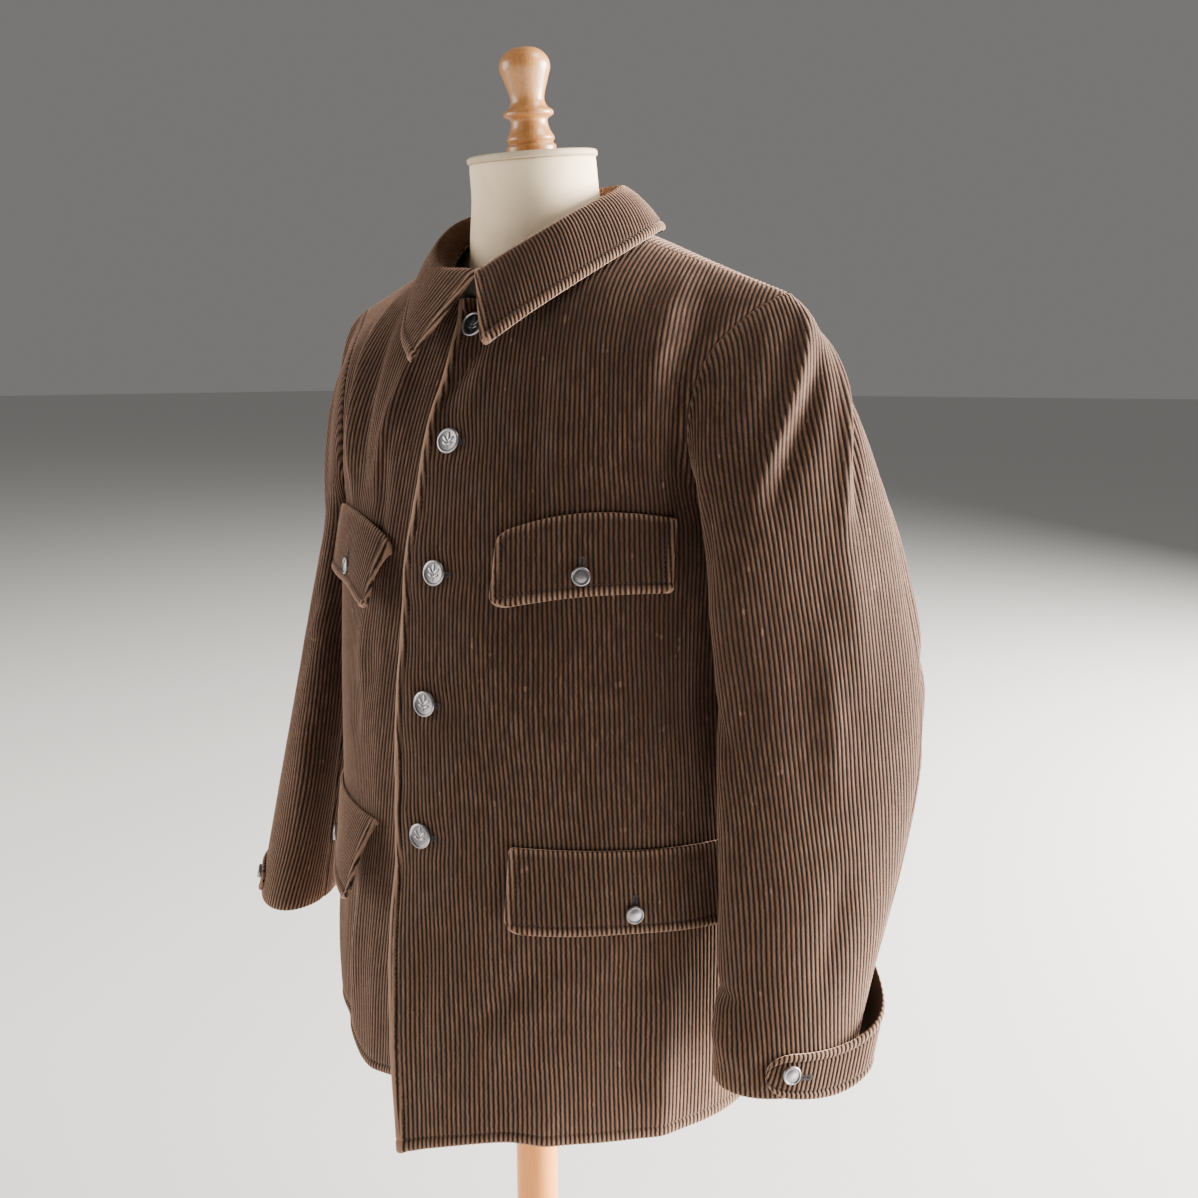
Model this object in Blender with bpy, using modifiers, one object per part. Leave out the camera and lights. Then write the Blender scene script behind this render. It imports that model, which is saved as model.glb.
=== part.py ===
"""Corduroy hunting jacket, buttoned left over right, on a limbless dress form with a turned stand.

Metres, +Z up. The origin is the centre of the base's underside, the front faces -Y and the
wearer's left is +X. Every cloth piece is an open sheet laid through computed sections, with its
outer face on those sections and its wall thickened inwards.
"""
import math
from collections import namedtuple

import bmesh
import bpy
import numpy as np
from mathutils import Matrix, Vector

OBJECT_NAME = "corduroy_jacket_on_dress_form"
MIRROR = np.array([-1.0, 1.0, 1.0])

# Cloth walls and the gaps kept between sewn pieces.
CLOTH_WALL = 0.0024
FLAP_WALL = 0.0030
SEAM_GAP = 0.0004
SIDE_GAP = 0.0006

# The right front dips under the left one between these distances from the centre line.
UNDERLAP_FULL = 0.030
UNDERLAP_ENDS = 0.070

# Both fronts run this far past the centre line up to the neck.
FRONT_LAP = 0.022

# Front, from hem to shoulder: the centre (then neckline) edge, the side (then armhole) edge, how
# far each end of the row runs straight on as a share of its chord, the heading in degrees from +X
# on which the row reaches the side and how far its start follows the chord.
# The last row only leads the cloth smoothly over the shoulder seam.
FrontRow = namedtuple(
    "FrontRow",
    "name centre_x centre_y centre_z side_x side_y side_z"
    " centre_reach side_reach heading along",
)
FRONT_ROWS = (
    FrontRow("hem", 0.000, -0.198, 0.450, 0.230, 0.030, 0.450, 0.27, 0.35, 90, 0.0),
    FrontRow("skirt", 0.000, -0.190, 0.565, 0.231, 0.030, 0.565, 0.27, 0.35, 90, 0.0),
    FrontRow("hip", 0.000, -0.175, 0.700, 0.231, 0.030, 0.700, 0.27, 0.36, 90, 0.0),
    FrontRow("waist", 0.000, -0.163, 0.830, 0.228, 0.026, 0.830, 0.31, 0.35, 90, 0.0),
    FrontRow("chest", 0.000, -0.146, 0.940, 0.223, 0.022, 0.930, 0.36, 0.34, 90, 0.0),
    FrontRow("armpit", 0.000, -0.134, 1.010, 0.220, 0.022, 0.985, 0.40, 0.32, 88, 0.0),
    FrontRow("low armhole", 0.000, -0.121, 1.060, 0.203, -0.034, 1.020, 0.42, 0.30, 68, 0.0),
    FrontRow("armhole", 0.000, -0.104, 1.110, 0.194, -0.048, 1.075, 0.42, 0.30, 52, 0.0),
    FrontRow("neck", 0.000, -0.077, 1.175, 0.200, -0.032, 1.130, 0.40, 0.30, 38, 0.1),
    FrontRow("neckline", 0.052, -0.050, 1.208, 0.218, 0.008, 1.168, 0.36, 0.30, 26, 0.6),
    FrontRow("shoulder", 0.080, 0.024, 1.250, 0.239, 0.046, 1.190, 0.33, 0.33, 8, 1.0),
    FrontRow("over shoulder", 0.056, 0.080, 1.260, 0.233, 0.066, 1.182, 0.34, 0.30, -8, 0.6),
)

# Back, from hem to shoulder, with the same kinds of columns; its two halves join at the centre.
BackRow = namedtuple(
    "BackRow",
    "name centre_x centre_y centre_z side_x side_y side_z centre_reach side_reach heading along",
)
BACK_ROWS = (
    BackRow("hem", 0.000, 0.168, 0.450, 0.230, 0.030, 0.450, 0.46, 0.34, -90, 0.0),
    BackRow("skirt", 0.000, 0.160, 0.565, 0.231, 0.030, 0.565, 0.46, 0.34, -90, 0.0),
    BackRow("hip", 0.000, 0.150, 0.700, 0.231, 0.030, 0.700, 0.46, 0.34, -90, 0.0),
    BackRow("waist", 0.000, 0.142, 0.830, 0.228, 0.026, 0.830, 0.46, 0.34, -90, 0.0),
    BackRow("chest", 0.000, 0.147, 0.940, 0.223, 0.022, 0.930, 0.46, 0.34, -90, 0.0),
    BackRow("armpit", 0.000, 0.152, 1.020, 0.220, 0.022, 0.985, 0.46, 0.34, -88, 0.0),
    BackRow("low armhole", 0.000, 0.154, 1.080, 0.208, 0.082, 1.030, 0.44, 0.30, -62, 0.0),
    BackRow("armhole", 0.000, 0.149, 1.140, 0.201, 0.104, 1.085, 0.42, 0.30, -44, 0.0),
    BackRow("blade", 0.000, 0.136, 1.200, 0.208, 0.102, 1.135, 0.40, 0.30, -32, 0.0),
    BackRow("nape", 0.000, 0.106, 1.260, 0.224, 0.084, 1.168, 0.38, 0.30, -22, 0.1),
    BackRow("neckline", 0.056, 0.080, 1.260, 0.233, 0.066, 1.182, 0.34, 0.30, -8, 0.6),
    BackRow("shoulder", 0.080, 0.024, 1.250, 0.239, 0.046, 1.190, 0.33, 0.33, 8, 1.0),
    BackRow("over shoulder", 0.052, -0.050, 1.208, 0.218, 0.008, 1.168, 0.36, 0.30, 26, 0.6),
)
ARMPIT_ROW = 5
FRONT_LAST, BACK_LAST = len(FRONT_ROWS) - 2, len(BACK_ROWS) - 2
FRONT_NECK_ROW, BACK_NECK_ROW = 8, 9
NECK_SHARE, NAPE_SHARE = FRONT_NECK_ROW / FRONT_LAST, BACK_NECK_ROW / BACK_LAST
NEAR_SHOULDER = 0.986
SHOULDER_SHARE = 0.0016

# The left front hangs lower towards its free edge and the right one is drawn up, as shares of the
# front's rows, and the whole skirt hangs a little lower on the wearer's left.
LEFT_EDGE_SAG = 0.036
RIGHT_EDGE_LIFT = 0.048
EDGE_WIDTH = 0.120
EDGE_TOP = 0.3
LEFT_HEM_TILT = 0.10
RIGHT_HEM_TILT = 0.19
HEM_TILT_TOP = 0.78

# Sleeve rings from the upper arm to the cuff: centre, half thickness across the flattened tube,
# half width along it, the turn of its outer face from +X in degrees, in the wearer's left, and
# the share of a turn by which the cloth's columns slip round it.
SleeveRing = namedtuple("SleeveRing", "name x y z half_thick half_wide turn slip")
LEFT_SLEEVE = (
    SleeveRing("upper arm", 0.285, 0.008, 0.950, 0.042, 0.098, -33, 0.00),
    SleeveRing("above elbow", 0.296, 0.018, 0.860, 0.043, 0.102, -35, 0.00),
    SleeveRing("elbow", 0.300, 0.018, 0.770, 0.043, 0.102, -36, 0.00),
    SleeveRing("forearm", 0.300, 0.004, 0.680, 0.042, 0.091, -36, 0.00),
    SleeveRing("wrist", 0.296, -0.016, 0.590, 0.042, 0.077, -36, 0.00),
    SleeveRing("cuff", 0.293, -0.032, 0.510, 0.044, 0.067, -36, 0.00),
)
RIGHT_SLEEVE = (
    SleeveRing("upper arm", 0.272, 0.062, 0.930, 0.035, 0.087, -16, 0.05),
    SleeveRing("above elbow", 0.292, 0.055, 0.850, 0.038, 0.090, -21, 0.05),
    SleeveRing("elbow", 0.308, 0.045, 0.770, 0.041, 0.093, -27, 0.03),
    SleeveRing("forearm", 0.321, 0.026, 0.680, 0.041, 0.088, -31, 0.01),
    SleeveRing("wrist", 0.330, 0.010, 0.600, 0.042, 0.082, -33, 0.00),
    SleeveRing("cuff", 0.337, -0.002, 0.525, 0.044, 0.080, -33, 0.00),
)
SLEEVE_HEAD = 0.40

# How the sleeve leaves the armhole seam, in eighths from the shoulder point round by the front,
# and how far it runs on that way as a share of the way to the upper arm.
HeadLine = namedtuple("HeadLine", "name out fore down reach")
HEAD_LINES = (
    HeadLine("shoulder", 0.90, 0.00, -0.20, 0.25),
    HeadLine("front of shoulder", 0.75, -0.20, -0.50, 0.25),
    HeadLine("front", 0.45, -0.30, -0.80, 0.25),
    HeadLine("low front", 0.60, -0.20, -0.75, 0.30),
    HeadLine("armpit", 0.90, 0.00, -0.45, 0.35),
    HeadLine("low back", 0.80, 0.15, -0.55, 0.30),
    HeadLine("back", 0.75, 0.30, -0.50, 0.25),
    HeadLine("back of shoulder", 0.88, 0.15, -0.25, 0.25),
)

# Columns round a sleeve fall on the armhole's own steps: these many down the front and up the
# back, with the seams of the two halves after so many steps from the shoulder point.
FRONT_ARMHOLE_STEPS, BACK_ARMHOLE_STEPS = 10, 12
FRONT_SEAM_STEPS, BACK_SEAM_STEPS = 8, 4
SLEEVE_SEAM_SHARE = 0.0020
BY_SEAM_SHARE = 0.008
SLEEVE_SET_OFF = 0.0010

# Collar, half of it from the nape to the front end: roll line and free edge. The first station only
# leads the cloth smoothly across the nape.
CollarStation = namedtuple("CollarStation", "name roll_x roll_y roll_z edge_x edge_y edge_z")
COLLAR_STATIONS = (
    CollarStation("other side", -0.052, 0.075, 1.297, -0.083, 0.104, 1.2555),
    CollarStation("nape", 0.000, 0.096, 1.299, 0.000, 0.144, 1.250),
    CollarStation("back", 0.052, 0.075, 1.297, 0.083, 0.104, 1.2555),
    CollarStation("side", 0.079, 0.024, 1.284, 0.121, 0.034, 1.247),
    CollarStation("front side", 0.067, -0.036, 1.256, 0.099, -0.041, 1.208),
    CollarStation("front", 0.036, -0.074, 1.228, 0.067, -0.095, 1.171),
    CollarStation("end", 0.006, -0.089, 1.208, 0.040, -0.127, 1.142),
)
COLLAR_END = 0.965
COLLAR_SET_IN = 0.0020

# Pocket flaps: distances from the centre line, height of the top edge at both ends, its upward
# bow, the drop of the flap, its swell outwards, corner radius, the lower edge's stand-off, the
# button's place above that edge, how much lower the right-hand flap is sewn on and how far its
# inner corner gapes.
Flap = namedtuple(
    "Flap",
    "name inner outer top_inner top_outer bow drop swell corner stand_off button_up"
    " right_lower right_gape",
)
CHEST_FLAP = Flap(
    "chest", 0.058, 0.211, 0.988, 1.020, 0.006, 0.065, 0.010, 0.016, 0.006, 0.016, 0.014, 0.006
)
HIP_FLAP = Flap(
    "hip", 0.084, 0.308, 0.717, 0.707, 0.000, 0.074, 0.002, 0.018, 0.008, 0.018, 0.000, 0.016
)

# Cuff tabs: shares round the sleeve where they start and end, height above the cuff at the round
# end, rise towards the start, width and how far they stand off behind.
TAB_START = -0.27
TAB_END = 0.105
TAB_LOW = 0.004
TAB_RISE = 0.052
TAB_WIDTH = 0.042
TAB_LENGTH = 0.130
TAB_STAND_OFF = 0.017

# Buttons; the seat is the gap kept above the cloth's curved face.
FRONT_BUTTON_HEIGHTS = (1.163, 1.063, 0.950, 0.836, 0.717)
BUTTON_SEAT = 0.0006
FRONT_BUTTON_RADIUS = 0.0115
SMALL_BUTTON_RADIUS = 0.0082
BUTTON_THICKNESS = 0.0036
BUTTON_SIDES = 20

# Dress form, from its underside to the shoulder: half width, front and back reach.
FormRing = namedtuple("FormRing", "name z half_width front back")
FORM_RINGS = (
    FormRing("underside", 0.560, 0.160, -0.112, 0.104),
    FormRing("hip", 0.640, 0.172, -0.122, 0.112),
    FormRing("waist", 0.780, 0.150, -0.108, 0.092),
    FormRing("chest", 0.940, 0.176, -0.112, 0.112),
    FormRing("armpit", 1.030, 0.180, -0.100, 0.116),
    FormRing("upper chest", 1.110, 0.186, -0.076, 0.110),
    FormRing("below shoulder", 1.170, 0.196, -0.046, 0.098),
)
FORM_SHOULDER_SHARES = (0.80, 0.60, 0.40, 0.20, 0.05)
FORM_SHOULDER_FRONT = 0.050
FORM_SHOULDER_BACK = 0.056
FORM_RIDGE_BACK = 0.010
FORM_SIDES = 32

# Neck, plate and finial lean forwards together.
NECK_LEAN = math.radians(8.0)
NECK_TOP_Y = 0.011
NECK_TOP_Z = 1.314
NECK_TOP_RADIUS = 0.0585
NECK_BASE_RADIUS = 0.0640
NECK_LENGTH = 0.062
PLATE_RADIUS = 0.0605
PLATE_THICKNESS = 0.006

# Turned profiles as radius and height pairs, from top to bottom.
FINIAL_PROFILE = (
    (0.000, 0.0900),
    (0.012, 0.0885),
    (0.0205, 0.0820),
    (0.0232, 0.0735),
    (0.0205, 0.0640),
    (0.0165, 0.0520),
    (0.0155, 0.0450),
    (0.0180, 0.0395),
    (0.0225, 0.0360),
    (0.0225, 0.0325),
    (0.0172, 0.0290),
    (0.0180, 0.0210),
    (0.0222, 0.0130),
    (0.0205, 0.0090),
    (0.0230, 0.0060),
    (0.0230, 0.0000),
    (0.000, 0.0000),
)
POLE_RADIUS = 0.0222
BASE_RADIUS = 0.190
BASE_PROFILE = (
    (0.000, 0.090),
    (0.034, 0.090),
    (0.038, 0.084),
    (0.038, 0.066),
    (0.052, 0.054),
    (0.100, 0.046),
    (0.160, 0.040),
    (0.182, 0.034),
    (BASE_RADIUS, 0.024),
    (BASE_RADIUS, 0.006),
    (0.184, 0.000),
    (0.000, 0.000),
)
TURNED_SIDES = 28

# Sheet divisions.
LAP_COLUMNS, FRONT_COLUMNS, FRONT_STEPS = 4, 11, 20
BACK_COLUMNS, BACK_STEPS = 11, 22
SLEEVE_STEPS = 20
COLLAR_COLUMNS, COLLAR_STEPS = 8, 15
FLAP_COLUMNS, FLAP_STEPS = 10, 5
TAB_COLUMNS, TAB_STEPS = 14, 3

# Finishes as colour, roughness and metallic value.
CORDUROY = ((0.060, 0.040, 0.028), 0.90, 0.0)
METAL = ((0.42, 0.42, 0.40), 0.38, 1.0)
LINEN = ((0.70, 0.64, 0.52), 0.85, 0.0)
PALE_WOOD = ((0.62, 0.40, 0.20), 0.45, 0.0)
DARK_WOOD = ((0.20, 0.09, 0.035), 0.35, 0.0)


def unit(vectors):
    """Vectors scaled to length one."""
    return vectors / np.linalg.norm(vectors, axis=-1, keepdims=True)


def ease(start, end, values):
    """Zero before start, one after end and a smooth rise between."""
    share = np.clip((np.asarray(values, dtype=float) - start) / (end - start), 0.0, 1.0)
    return share * share * (3.0 - 2.0 * share)


def smooth_step(before, near, far, after, step):
    """Point between near and far on a smooth curve through four points."""
    leave = (far - before) / 2.0
    arrive = (after - near) / 2.0
    square, cube = step * step, step * step * step
    return (
        near * (2.0 * cube - 3.0 * square + 1.0)
        + leave * (cube - 2.0 * square + step)
        + far * (3.0 * square - 2.0 * cube)
        + arrive * (cube - square)
    )


def section(table, share):
    """A table's named values at a share of its rows, on a smooth curve through the rows."""
    rows = np.array([row[1:] for row in table], dtype=float)
    place = min(max(share, 0.0), 1.0) * (len(rows) - 1)
    index = min(int(place), len(rows) - 2)
    near, far = rows[index], rows[index + 1]
    before = rows[index - 1] if index > 0 else 2.0 * near - far
    after = rows[index + 2] if index + 2 < len(rows) else 2.0 * far - near
    values = smooth_step(before, near, far, after, place - index)
    return type(table[0])("", *values)


def round_section(table, shares):
    """A closed table's values at shares of one turn, as an array with a row per share."""
    rows = np.array([row[1:] for row in table], dtype=float)
    place = np.mod(shares, 1.0) * len(rows)
    index = place.astype(int)
    around = [rows[(index + move) % len(rows)] for move in (-1, 0, 1, 2)]
    return smooth_step(*around, (place - index)[:, None])


def arc(controls, shares):
    """Points of a cubic curve with four control points."""
    left, right = (1.0 - shares)[:, None], shares[:, None]
    first, second, third, fourth = controls
    return (
        first * left**3
        + 3.0 * second * left**2 * right
        + 3.0 * third * left * right**2
        + fourth * right**3
    )


def column_places(table, edge):
    """Places of an edge's three coordinates among the named values of a table."""
    return [table[0]._fields.index(edge + axis) - 1 for axis in ("_x", "_y", "_z")]


def body_row(table, share):
    """Named values of a front or back row; its edges turn corners at the armpit and the neck."""
    rows = np.array([row[1:] for row in table], dtype=float)
    place = share * (len(rows) - 2)
    index = min(max(int(place), 0), len(rows) - 3)
    near, far = rows[index], rows[index + 1]
    before = rows[index - 1].copy() if index > 0 else 2.0 * near - far
    after = rows[index + 2].copy()
    neck_row = FRONT_NECK_ROW if table is FRONT_ROWS else BACK_NECK_ROW
    for corner, edge in ((ARMPIT_ROW, "side"), (neck_row, "centre")):
        columns = column_places(table, edge)
        if index + 1 == corner:
            after[columns] = (2.0 * far - near)[columns]
        if index == corner:
            before[columns] = (2.0 * near - far)[columns]
    if index == neck_row:
        before[column_places(table, "centre")] = far[column_places(table, "centre")] * MIRROR
    row = type(table[0])("", *smooth_step(before, near, far, after, place - index))
    return row._replace(centre_x=max(row.centre_x, 0.0))


def row_controls(row):
    """Control points of a front or back row, from its centre to its side."""
    start = np.array([row.centre_x, row.centre_y, row.centre_z])
    end = np.array([row.side_x, row.side_y, row.side_z])
    chord = end - start
    length = np.linalg.norm(chord)
    ahead = unit(np.array([1.0, 0.0, 0.0]) * (1.0 - row.along) + chord / length * row.along)
    heading = math.radians(row.heading)
    fall = chord[2] / math.hypot(chord[0], chord[1])
    arrive = unit(np.array([math.cos(heading), math.sin(heading), fall]))
    return (
        start,
        start + ahead * row.centre_reach * length,
        end - arrive * row.side_reach * length,
        end,
    )


def row_run(controls):
    """Curve shares and the lengths run at them, for even distances along a row."""
    shares = np.linspace(0.0, 1.0, 65)
    steps = np.linalg.norm(np.diff(arc(controls, shares), axis=0), axis=1)
    return shares, np.concatenate(([0.0], np.cumsum(steps)))


def row_length(table, share):
    """Length of a row from its centre to its side."""
    return row_run(row_controls(body_row(table, share)))[1][-1]


def row_points(table, share, across):
    """Points of a row at distances from its centre; negative ones lie past the centre line."""
    row = body_row(table, share)
    controls = row_controls(row)
    shares, run = row_run(controls)
    points = arc(controls, np.interp(np.abs(across), run, shares))
    past = across < 0.0
    points[past, 0] = 2.0 * row.centre_x - points[past, 0]
    return points


def row_normals(table, share, across):
    """Outward directions of a front or back at points of a row."""
    reach = 0.003
    side = row_points(table, share, across + reach) - row_points(table, share, across - reach)
    rise = row_points(table, share + 0.01, across) - row_points(table, share - 0.01, across)
    facing = 1.0 if table is FRONT_ROWS else -1.0
    return facing * unit(np.cross(side, rise))


def front_share(height):
    """Share of the front's rows at a height on its centre edge."""
    shares = np.linspace(0.0, 0.8, 161)
    heights = [body_row(FRONT_ROWS, share).centre_z for share in shares]
    return float(np.interp(height, heights, shares))


def to_right(points):
    """Points of the wearer's left carried over to the wearer's right."""
    return points * MIRROR


def level_hem(points):
    """Points of the skirt let down on the wearer's left and drawn up on the right."""
    low = np.clip((HEM_TILT_TOP - points[:, 2]) / (HEM_TILT_TOP - FRONT_ROWS[0].centre_z), 0.0, 1.0)
    tilt = np.where(points[:, 0] > 0.0, LEFT_HEM_TILT, RIGHT_HEM_TILT)
    points[:, 2] -= tilt * points[:, 0] * low**2
    return points


def hung_share(share, across, hang):
    """Shares of the front's rows at which the points of a row lie after its free edge hangs."""
    free = np.clip(1.0 - (across + FRONT_LAP) / EDGE_WIDTH, 0.0, 1.0) ** 1.5
    return share - hang * free * max(1.0 - share / EDGE_TOP, 0.0) ** 2


def front_points(share, across, hang, tuck):
    """Outer face of a front, its free edge let down by a share and moved in at its underlap."""
    shares = hung_share(share, across, hang)
    points = np.zeros((len(across), 3))
    for place, (level, distance, inward) in enumerate(zip(shares, across, tuck)):
        spot = np.array([distance])
        point = row_points(FRONT_ROWS, level, spot)
        points[place] = (point - row_normals(FRONT_ROWS, level, spot) * inward)[0]
    return points


def left_front_points(share, across):
    """Outer face of the left front, with its lower free edge."""
    return level_hem(front_points(share, across, LEFT_EDGE_SAG, np.zeros(len(across))))


def right_front_points(share, across):
    """Outer face of the right front, mirrored, tucked under the left one at the centre."""
    under = 1.0 - ease(UNDERLAP_FULL, UNDERLAP_ENDS, across)
    tuck = under * (CLOTH_WALL + 3.0 * SEAM_GAP)
    return level_hem(to_right(front_points(share, across, -RIGHT_EDGE_LIFT, tuck)))


def front_across(share):
    """Distances across a front, with even columns over the lap and then on to its side."""
    lap = FRONT_LAP if share <= NECK_SHARE else 0.0
    over = np.linspace(-lap, FRONT_LAP, LAP_COLUMNS + 1)
    side = row_length(FRONT_ROWS, share) - SIDE_GAP
    return np.concatenate((over, np.linspace(over[-1], side, FRONT_COLUMNS + 1)[1:]))


def side_edge(table, shares):
    """Side and armhole edge of a front or back."""
    rows = [body_row(table, share) for share in shares]
    return np.array([[row.side_x, row.side_y, row.side_z] for row in rows])


def even_points(points, shares):
    """Points at even shares of the length of a chain of points."""
    steps = np.linalg.norm(np.diff(points, axis=0), axis=1)
    run = np.concatenate(([0.0], np.cumsum(steps)))
    return np.stack([np.interp(shares * run[-1], run, points[:, axis]) for axis in range(3)], axis=1)


def neckline_points(shares):
    """Neckline from the nape over the shoulder seam to the front centre."""
    back = [body_row(BACK_ROWS, share) for share in np.linspace(NAPE_SHARE, 1.0, 21)]
    front = [body_row(FRONT_ROWS, share) for share in np.linspace(1.0, NECK_SHARE, 21)]
    chain = np.array([[row.centre_x, row.centre_y, row.centre_z] for row in back + front[1:]])
    return even_points(chain, shares)


def armhole_points(turns):
    """Armhole seam from the shoulder point down the front and up the back, one turn in all."""
    turn = np.mod(turns, 1.0)
    armpit = ARMPIT_ROW / FRONT_LAST
    front = side_edge(FRONT_ROWS, 1.0 - np.minimum(turn * 2.0, 1.0) * (1.0 - armpit))
    armpit = ARMPIT_ROW / BACK_LAST
    back = side_edge(BACK_ROWS, armpit + np.maximum(turn * 2.0 - 1.0, 0.0) * (1.0 - armpit))
    return np.where((turn < 0.5)[:, None], front, back)


def sleeve_ring(rings, share, turns):
    """Points round the flattened sleeve at a share of its rings."""
    ring = section(rings, share)
    turn = math.radians(ring.turn)
    outer = np.array([math.cos(turn), math.sin(turn), 0.0])
    fore = np.array([math.sin(turn), -math.cos(turn), 0.0])
    angle = (turns - ring.slip) * 2.0 * math.pi
    middle = np.array([ring.x, ring.y, ring.z])
    thick = ring.half_thick * np.cos(angle)[:, None] * outer
    return middle + thick + ring.half_wide * np.sin(angle)[:, None] * fore


def sleeve_points(rings, share, turns):
    """Outer face of the left-hand sleeve at a share of its length and at shares round it."""
    if share > SLEEVE_HEAD:
        return sleeve_ring(rings, (share - SLEEVE_HEAD) / (1.0 - SLEEVE_HEAD), turns)
    step = share / SLEEVE_HEAD
    lines = round_section(HEAD_LINES, turns)
    start = armhole_points(turns) + np.array([SLEEVE_SET_OFF, 0.0, 0.0])
    end = sleeve_ring(rings, 0.0, turns)
    length = np.linalg.norm(end - start, axis=1, keepdims=True)
    leave = unit(lines[:, :3] + 0.5 * (end - start) / length)
    arrive = unit(sleeve_ring(rings, 0.02, turns) - end)
    controls = (start, start + leave * lines[:, 3:] * length, end - arrive * length * 0.4, end)
    left = 1.0 - step
    return (
        controls[0] * left**3
        + 3.0 * controls[1] * left**2 * step
        + 3.0 * controls[2] * left * step**2
        + controls[3] * step**3
    )


def sleeve_normals(rings, share, turns):
    """Outward directions of the left-hand sleeve."""
    low, high = max(share - 0.01, 0.0), min(share + 0.01, 1.0)
    around = sleeve_points(rings, share, turns + 0.004) - sleeve_points(rings, share, turns - 0.004)
    down = sleeve_points(rings, high, turns) - sleeve_points(rings, low, turns)
    return unit(np.cross(around, down))


def collar_points(share, columns):
    """Folded collar at a share from nape to front end, from its neckline to its free edge."""
    last = len(COLLAR_STATIONS) - 1
    place = section(COLLAR_STATIONS, (1.0 + share * (last - 1)) / last)
    seam = neckline_points(np.array([share * COLLAR_END]))[0]
    inward = unit(np.array([-seam[0], -seam[1], 0.0]))
    neck = seam + (inward + np.array([0.0, 0.0, 1.0])) * COLLAR_SET_IN
    roll = np.array([place.roll_x, place.roll_y, place.roll_z])
    edge = np.array([place.edge_x, place.edge_y, place.edge_z])
    bulge = np.array([0.0, 0.0, 0.006])
    stand = neck * 0.5 + roll * 0.5
    upper = roll * 0.72 + edge * 0.28 + bulge
    lower = roll * 0.36 + edge * 0.64 + bulge
    knots = np.array([2.0 * neck - stand, neck, stand, roll, upper, lower, edge, 2.0 * edge - lower])
    spot = columns * 5.0
    index = np.minimum(spot.astype(int), 4)
    around = [knots[index + move] for move in range(4)]
    return smooth_step(*around, (spot - index)[:, None])


def corner_inset(radius, distance):
    """How far an outline pulls in at a distance from a rounded corner's end."""
    inside = np.clip(radius - distance, 0.0, radius)
    return radius - np.sqrt(radius * radius - inside * inside)


def flap_points(flap, lower, gape, drop, columns):
    """Outer face of a pocket flap in the wearer's left at a share of its drop."""
    width = flap.outer - flap.inner
    inset = float(corner_inset(flap.corner, (1.0 - drop) * flap.drop)) / width
    along = inset + columns * (1.0 - 2.0 * inset)
    across = flap.inner + along * width
    top = flap.top_inner - lower + (flap.top_outer - flap.top_inner) * along
    top = top + flap.bow * 4.0 * along * (1.0 - along)
    heights = top - drop * (flap.drop + flap.swell * along)
    held = 1.0 - 0.6 * np.exp(-(((along - 0.5) / 0.22) ** 2))
    lift = 2.0 * SEAM_GAP + FLAP_WALL + flap.stand_off * drop**1.3 * held
    lift = lift + gape * drop * (1.0 - along) ** 3
    points = np.zeros((len(columns), 3))
    for place, (distance, height, rise) in enumerate(zip(across, heights, lift)):
        share = front_share(height)
        spot = np.array([distance])
        surface = row_points(FRONT_ROWS, share, spot)
        points[place] = (surface + row_normals(FRONT_ROWS, share, spot) * rise)[0]
    return points


def tab_points(rings, across, columns):
    """Outer face of a left-hand cuff tab; columns run along it and across goes up its width."""
    turns = TAB_START + columns * (TAB_END - TAB_START)
    rows = np.array([[ring.x, ring.y, ring.z] for ring in rings])
    fall = (rows[0, 2] - rows[-1, 2]) / (1.0 - SLEEVE_HEAD)
    rounding = corner_inset(TAB_WIDTH / 2.0, (1.0 - columns) * TAB_LENGTH)
    heights = TAB_LOW + rounding + across * (TAB_WIDTH - 2.0 * rounding)
    heights = heights + TAB_RISE * (1.0 - columns) ** 2.6
    loose = np.exp(-(((turns + 0.17) / 0.085) ** 2))
    lift = 2.0 * SEAM_GAP + CLOTH_WALL + TAB_STAND_OFF * loose
    points = np.zeros((len(columns), 3))
    for place, (turn, height, rise) in enumerate(zip(turns, heights, lift)):
        spot = np.array([turn])
        share = 1.0 - height / fall
        surface = sleeve_points(rings, share, spot)
        points[place] = (surface + sleeve_normals(rings, share, spot) * rise)[0]
    return points


def finish(name, colour, roughness, metallic):
    """Principled material of one piece."""
    material = bpy.data.materials.new(name)
    material.use_nodes = True
    shader = material.node_tree.nodes["Principled BSDF"]
    shader.inputs["Base Color"].default_value = (*colour, 1.0)
    shader.inputs["Roughness"].default_value = roughness
    shader.inputs["Metallic"].default_value = metallic
    return material


def add_piece(collection, name, mesh, look):
    """Object of one piece, smooth shaded, with its own material."""
    piece = bpy.data.objects.new(name, mesh)
    collection.objects.link(piece)
    mesh.materials.append(finish(name + "_finish", *look))
    mesh.shade_smooth()
    return piece


def lay_grid(sheet, rows, flip):
    """Grid of faces laid through rows of points in a mesh being made."""
    count, columns = rows.shape[:2]
    made = bmesh.ops.create_grid(sheet, x_segments=columns - 1, y_segments=count - 1, size=0.5)
    order = sorted(made["verts"], key=lambda vertex: (round(vertex.co.y, 5), vertex.co.x))
    faces = {face for vertex in order for face in vertex.link_faces}
    for vertex, point in zip(order, rows.reshape(-1, 3)):
        vertex.co = Vector(point)
    if flip:
        bmesh.ops.reverse_faces(sheet, faces=list(faces))


def add_sheet(collection, name, grids, wall, look):
    """Cloth piece: grids that meet edge to edge, thickened inwards."""
    sheet = bmesh.new()
    for rows, flip in grids:
        lay_grid(sheet, rows, flip)
    bmesh.ops.remove_doubles(sheet, verts=sheet.verts, dist=0.00005)
    mesh = bpy.data.meshes.new(name)
    sheet.to_mesh(mesh)
    sheet.free()
    piece = add_piece(collection, name, mesh, look)
    thicken = piece.modifiers.new("wall", "SOLIDIFY")
    thicken.thickness = wall
    thicken.offset = -1.0
    return piece


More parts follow.
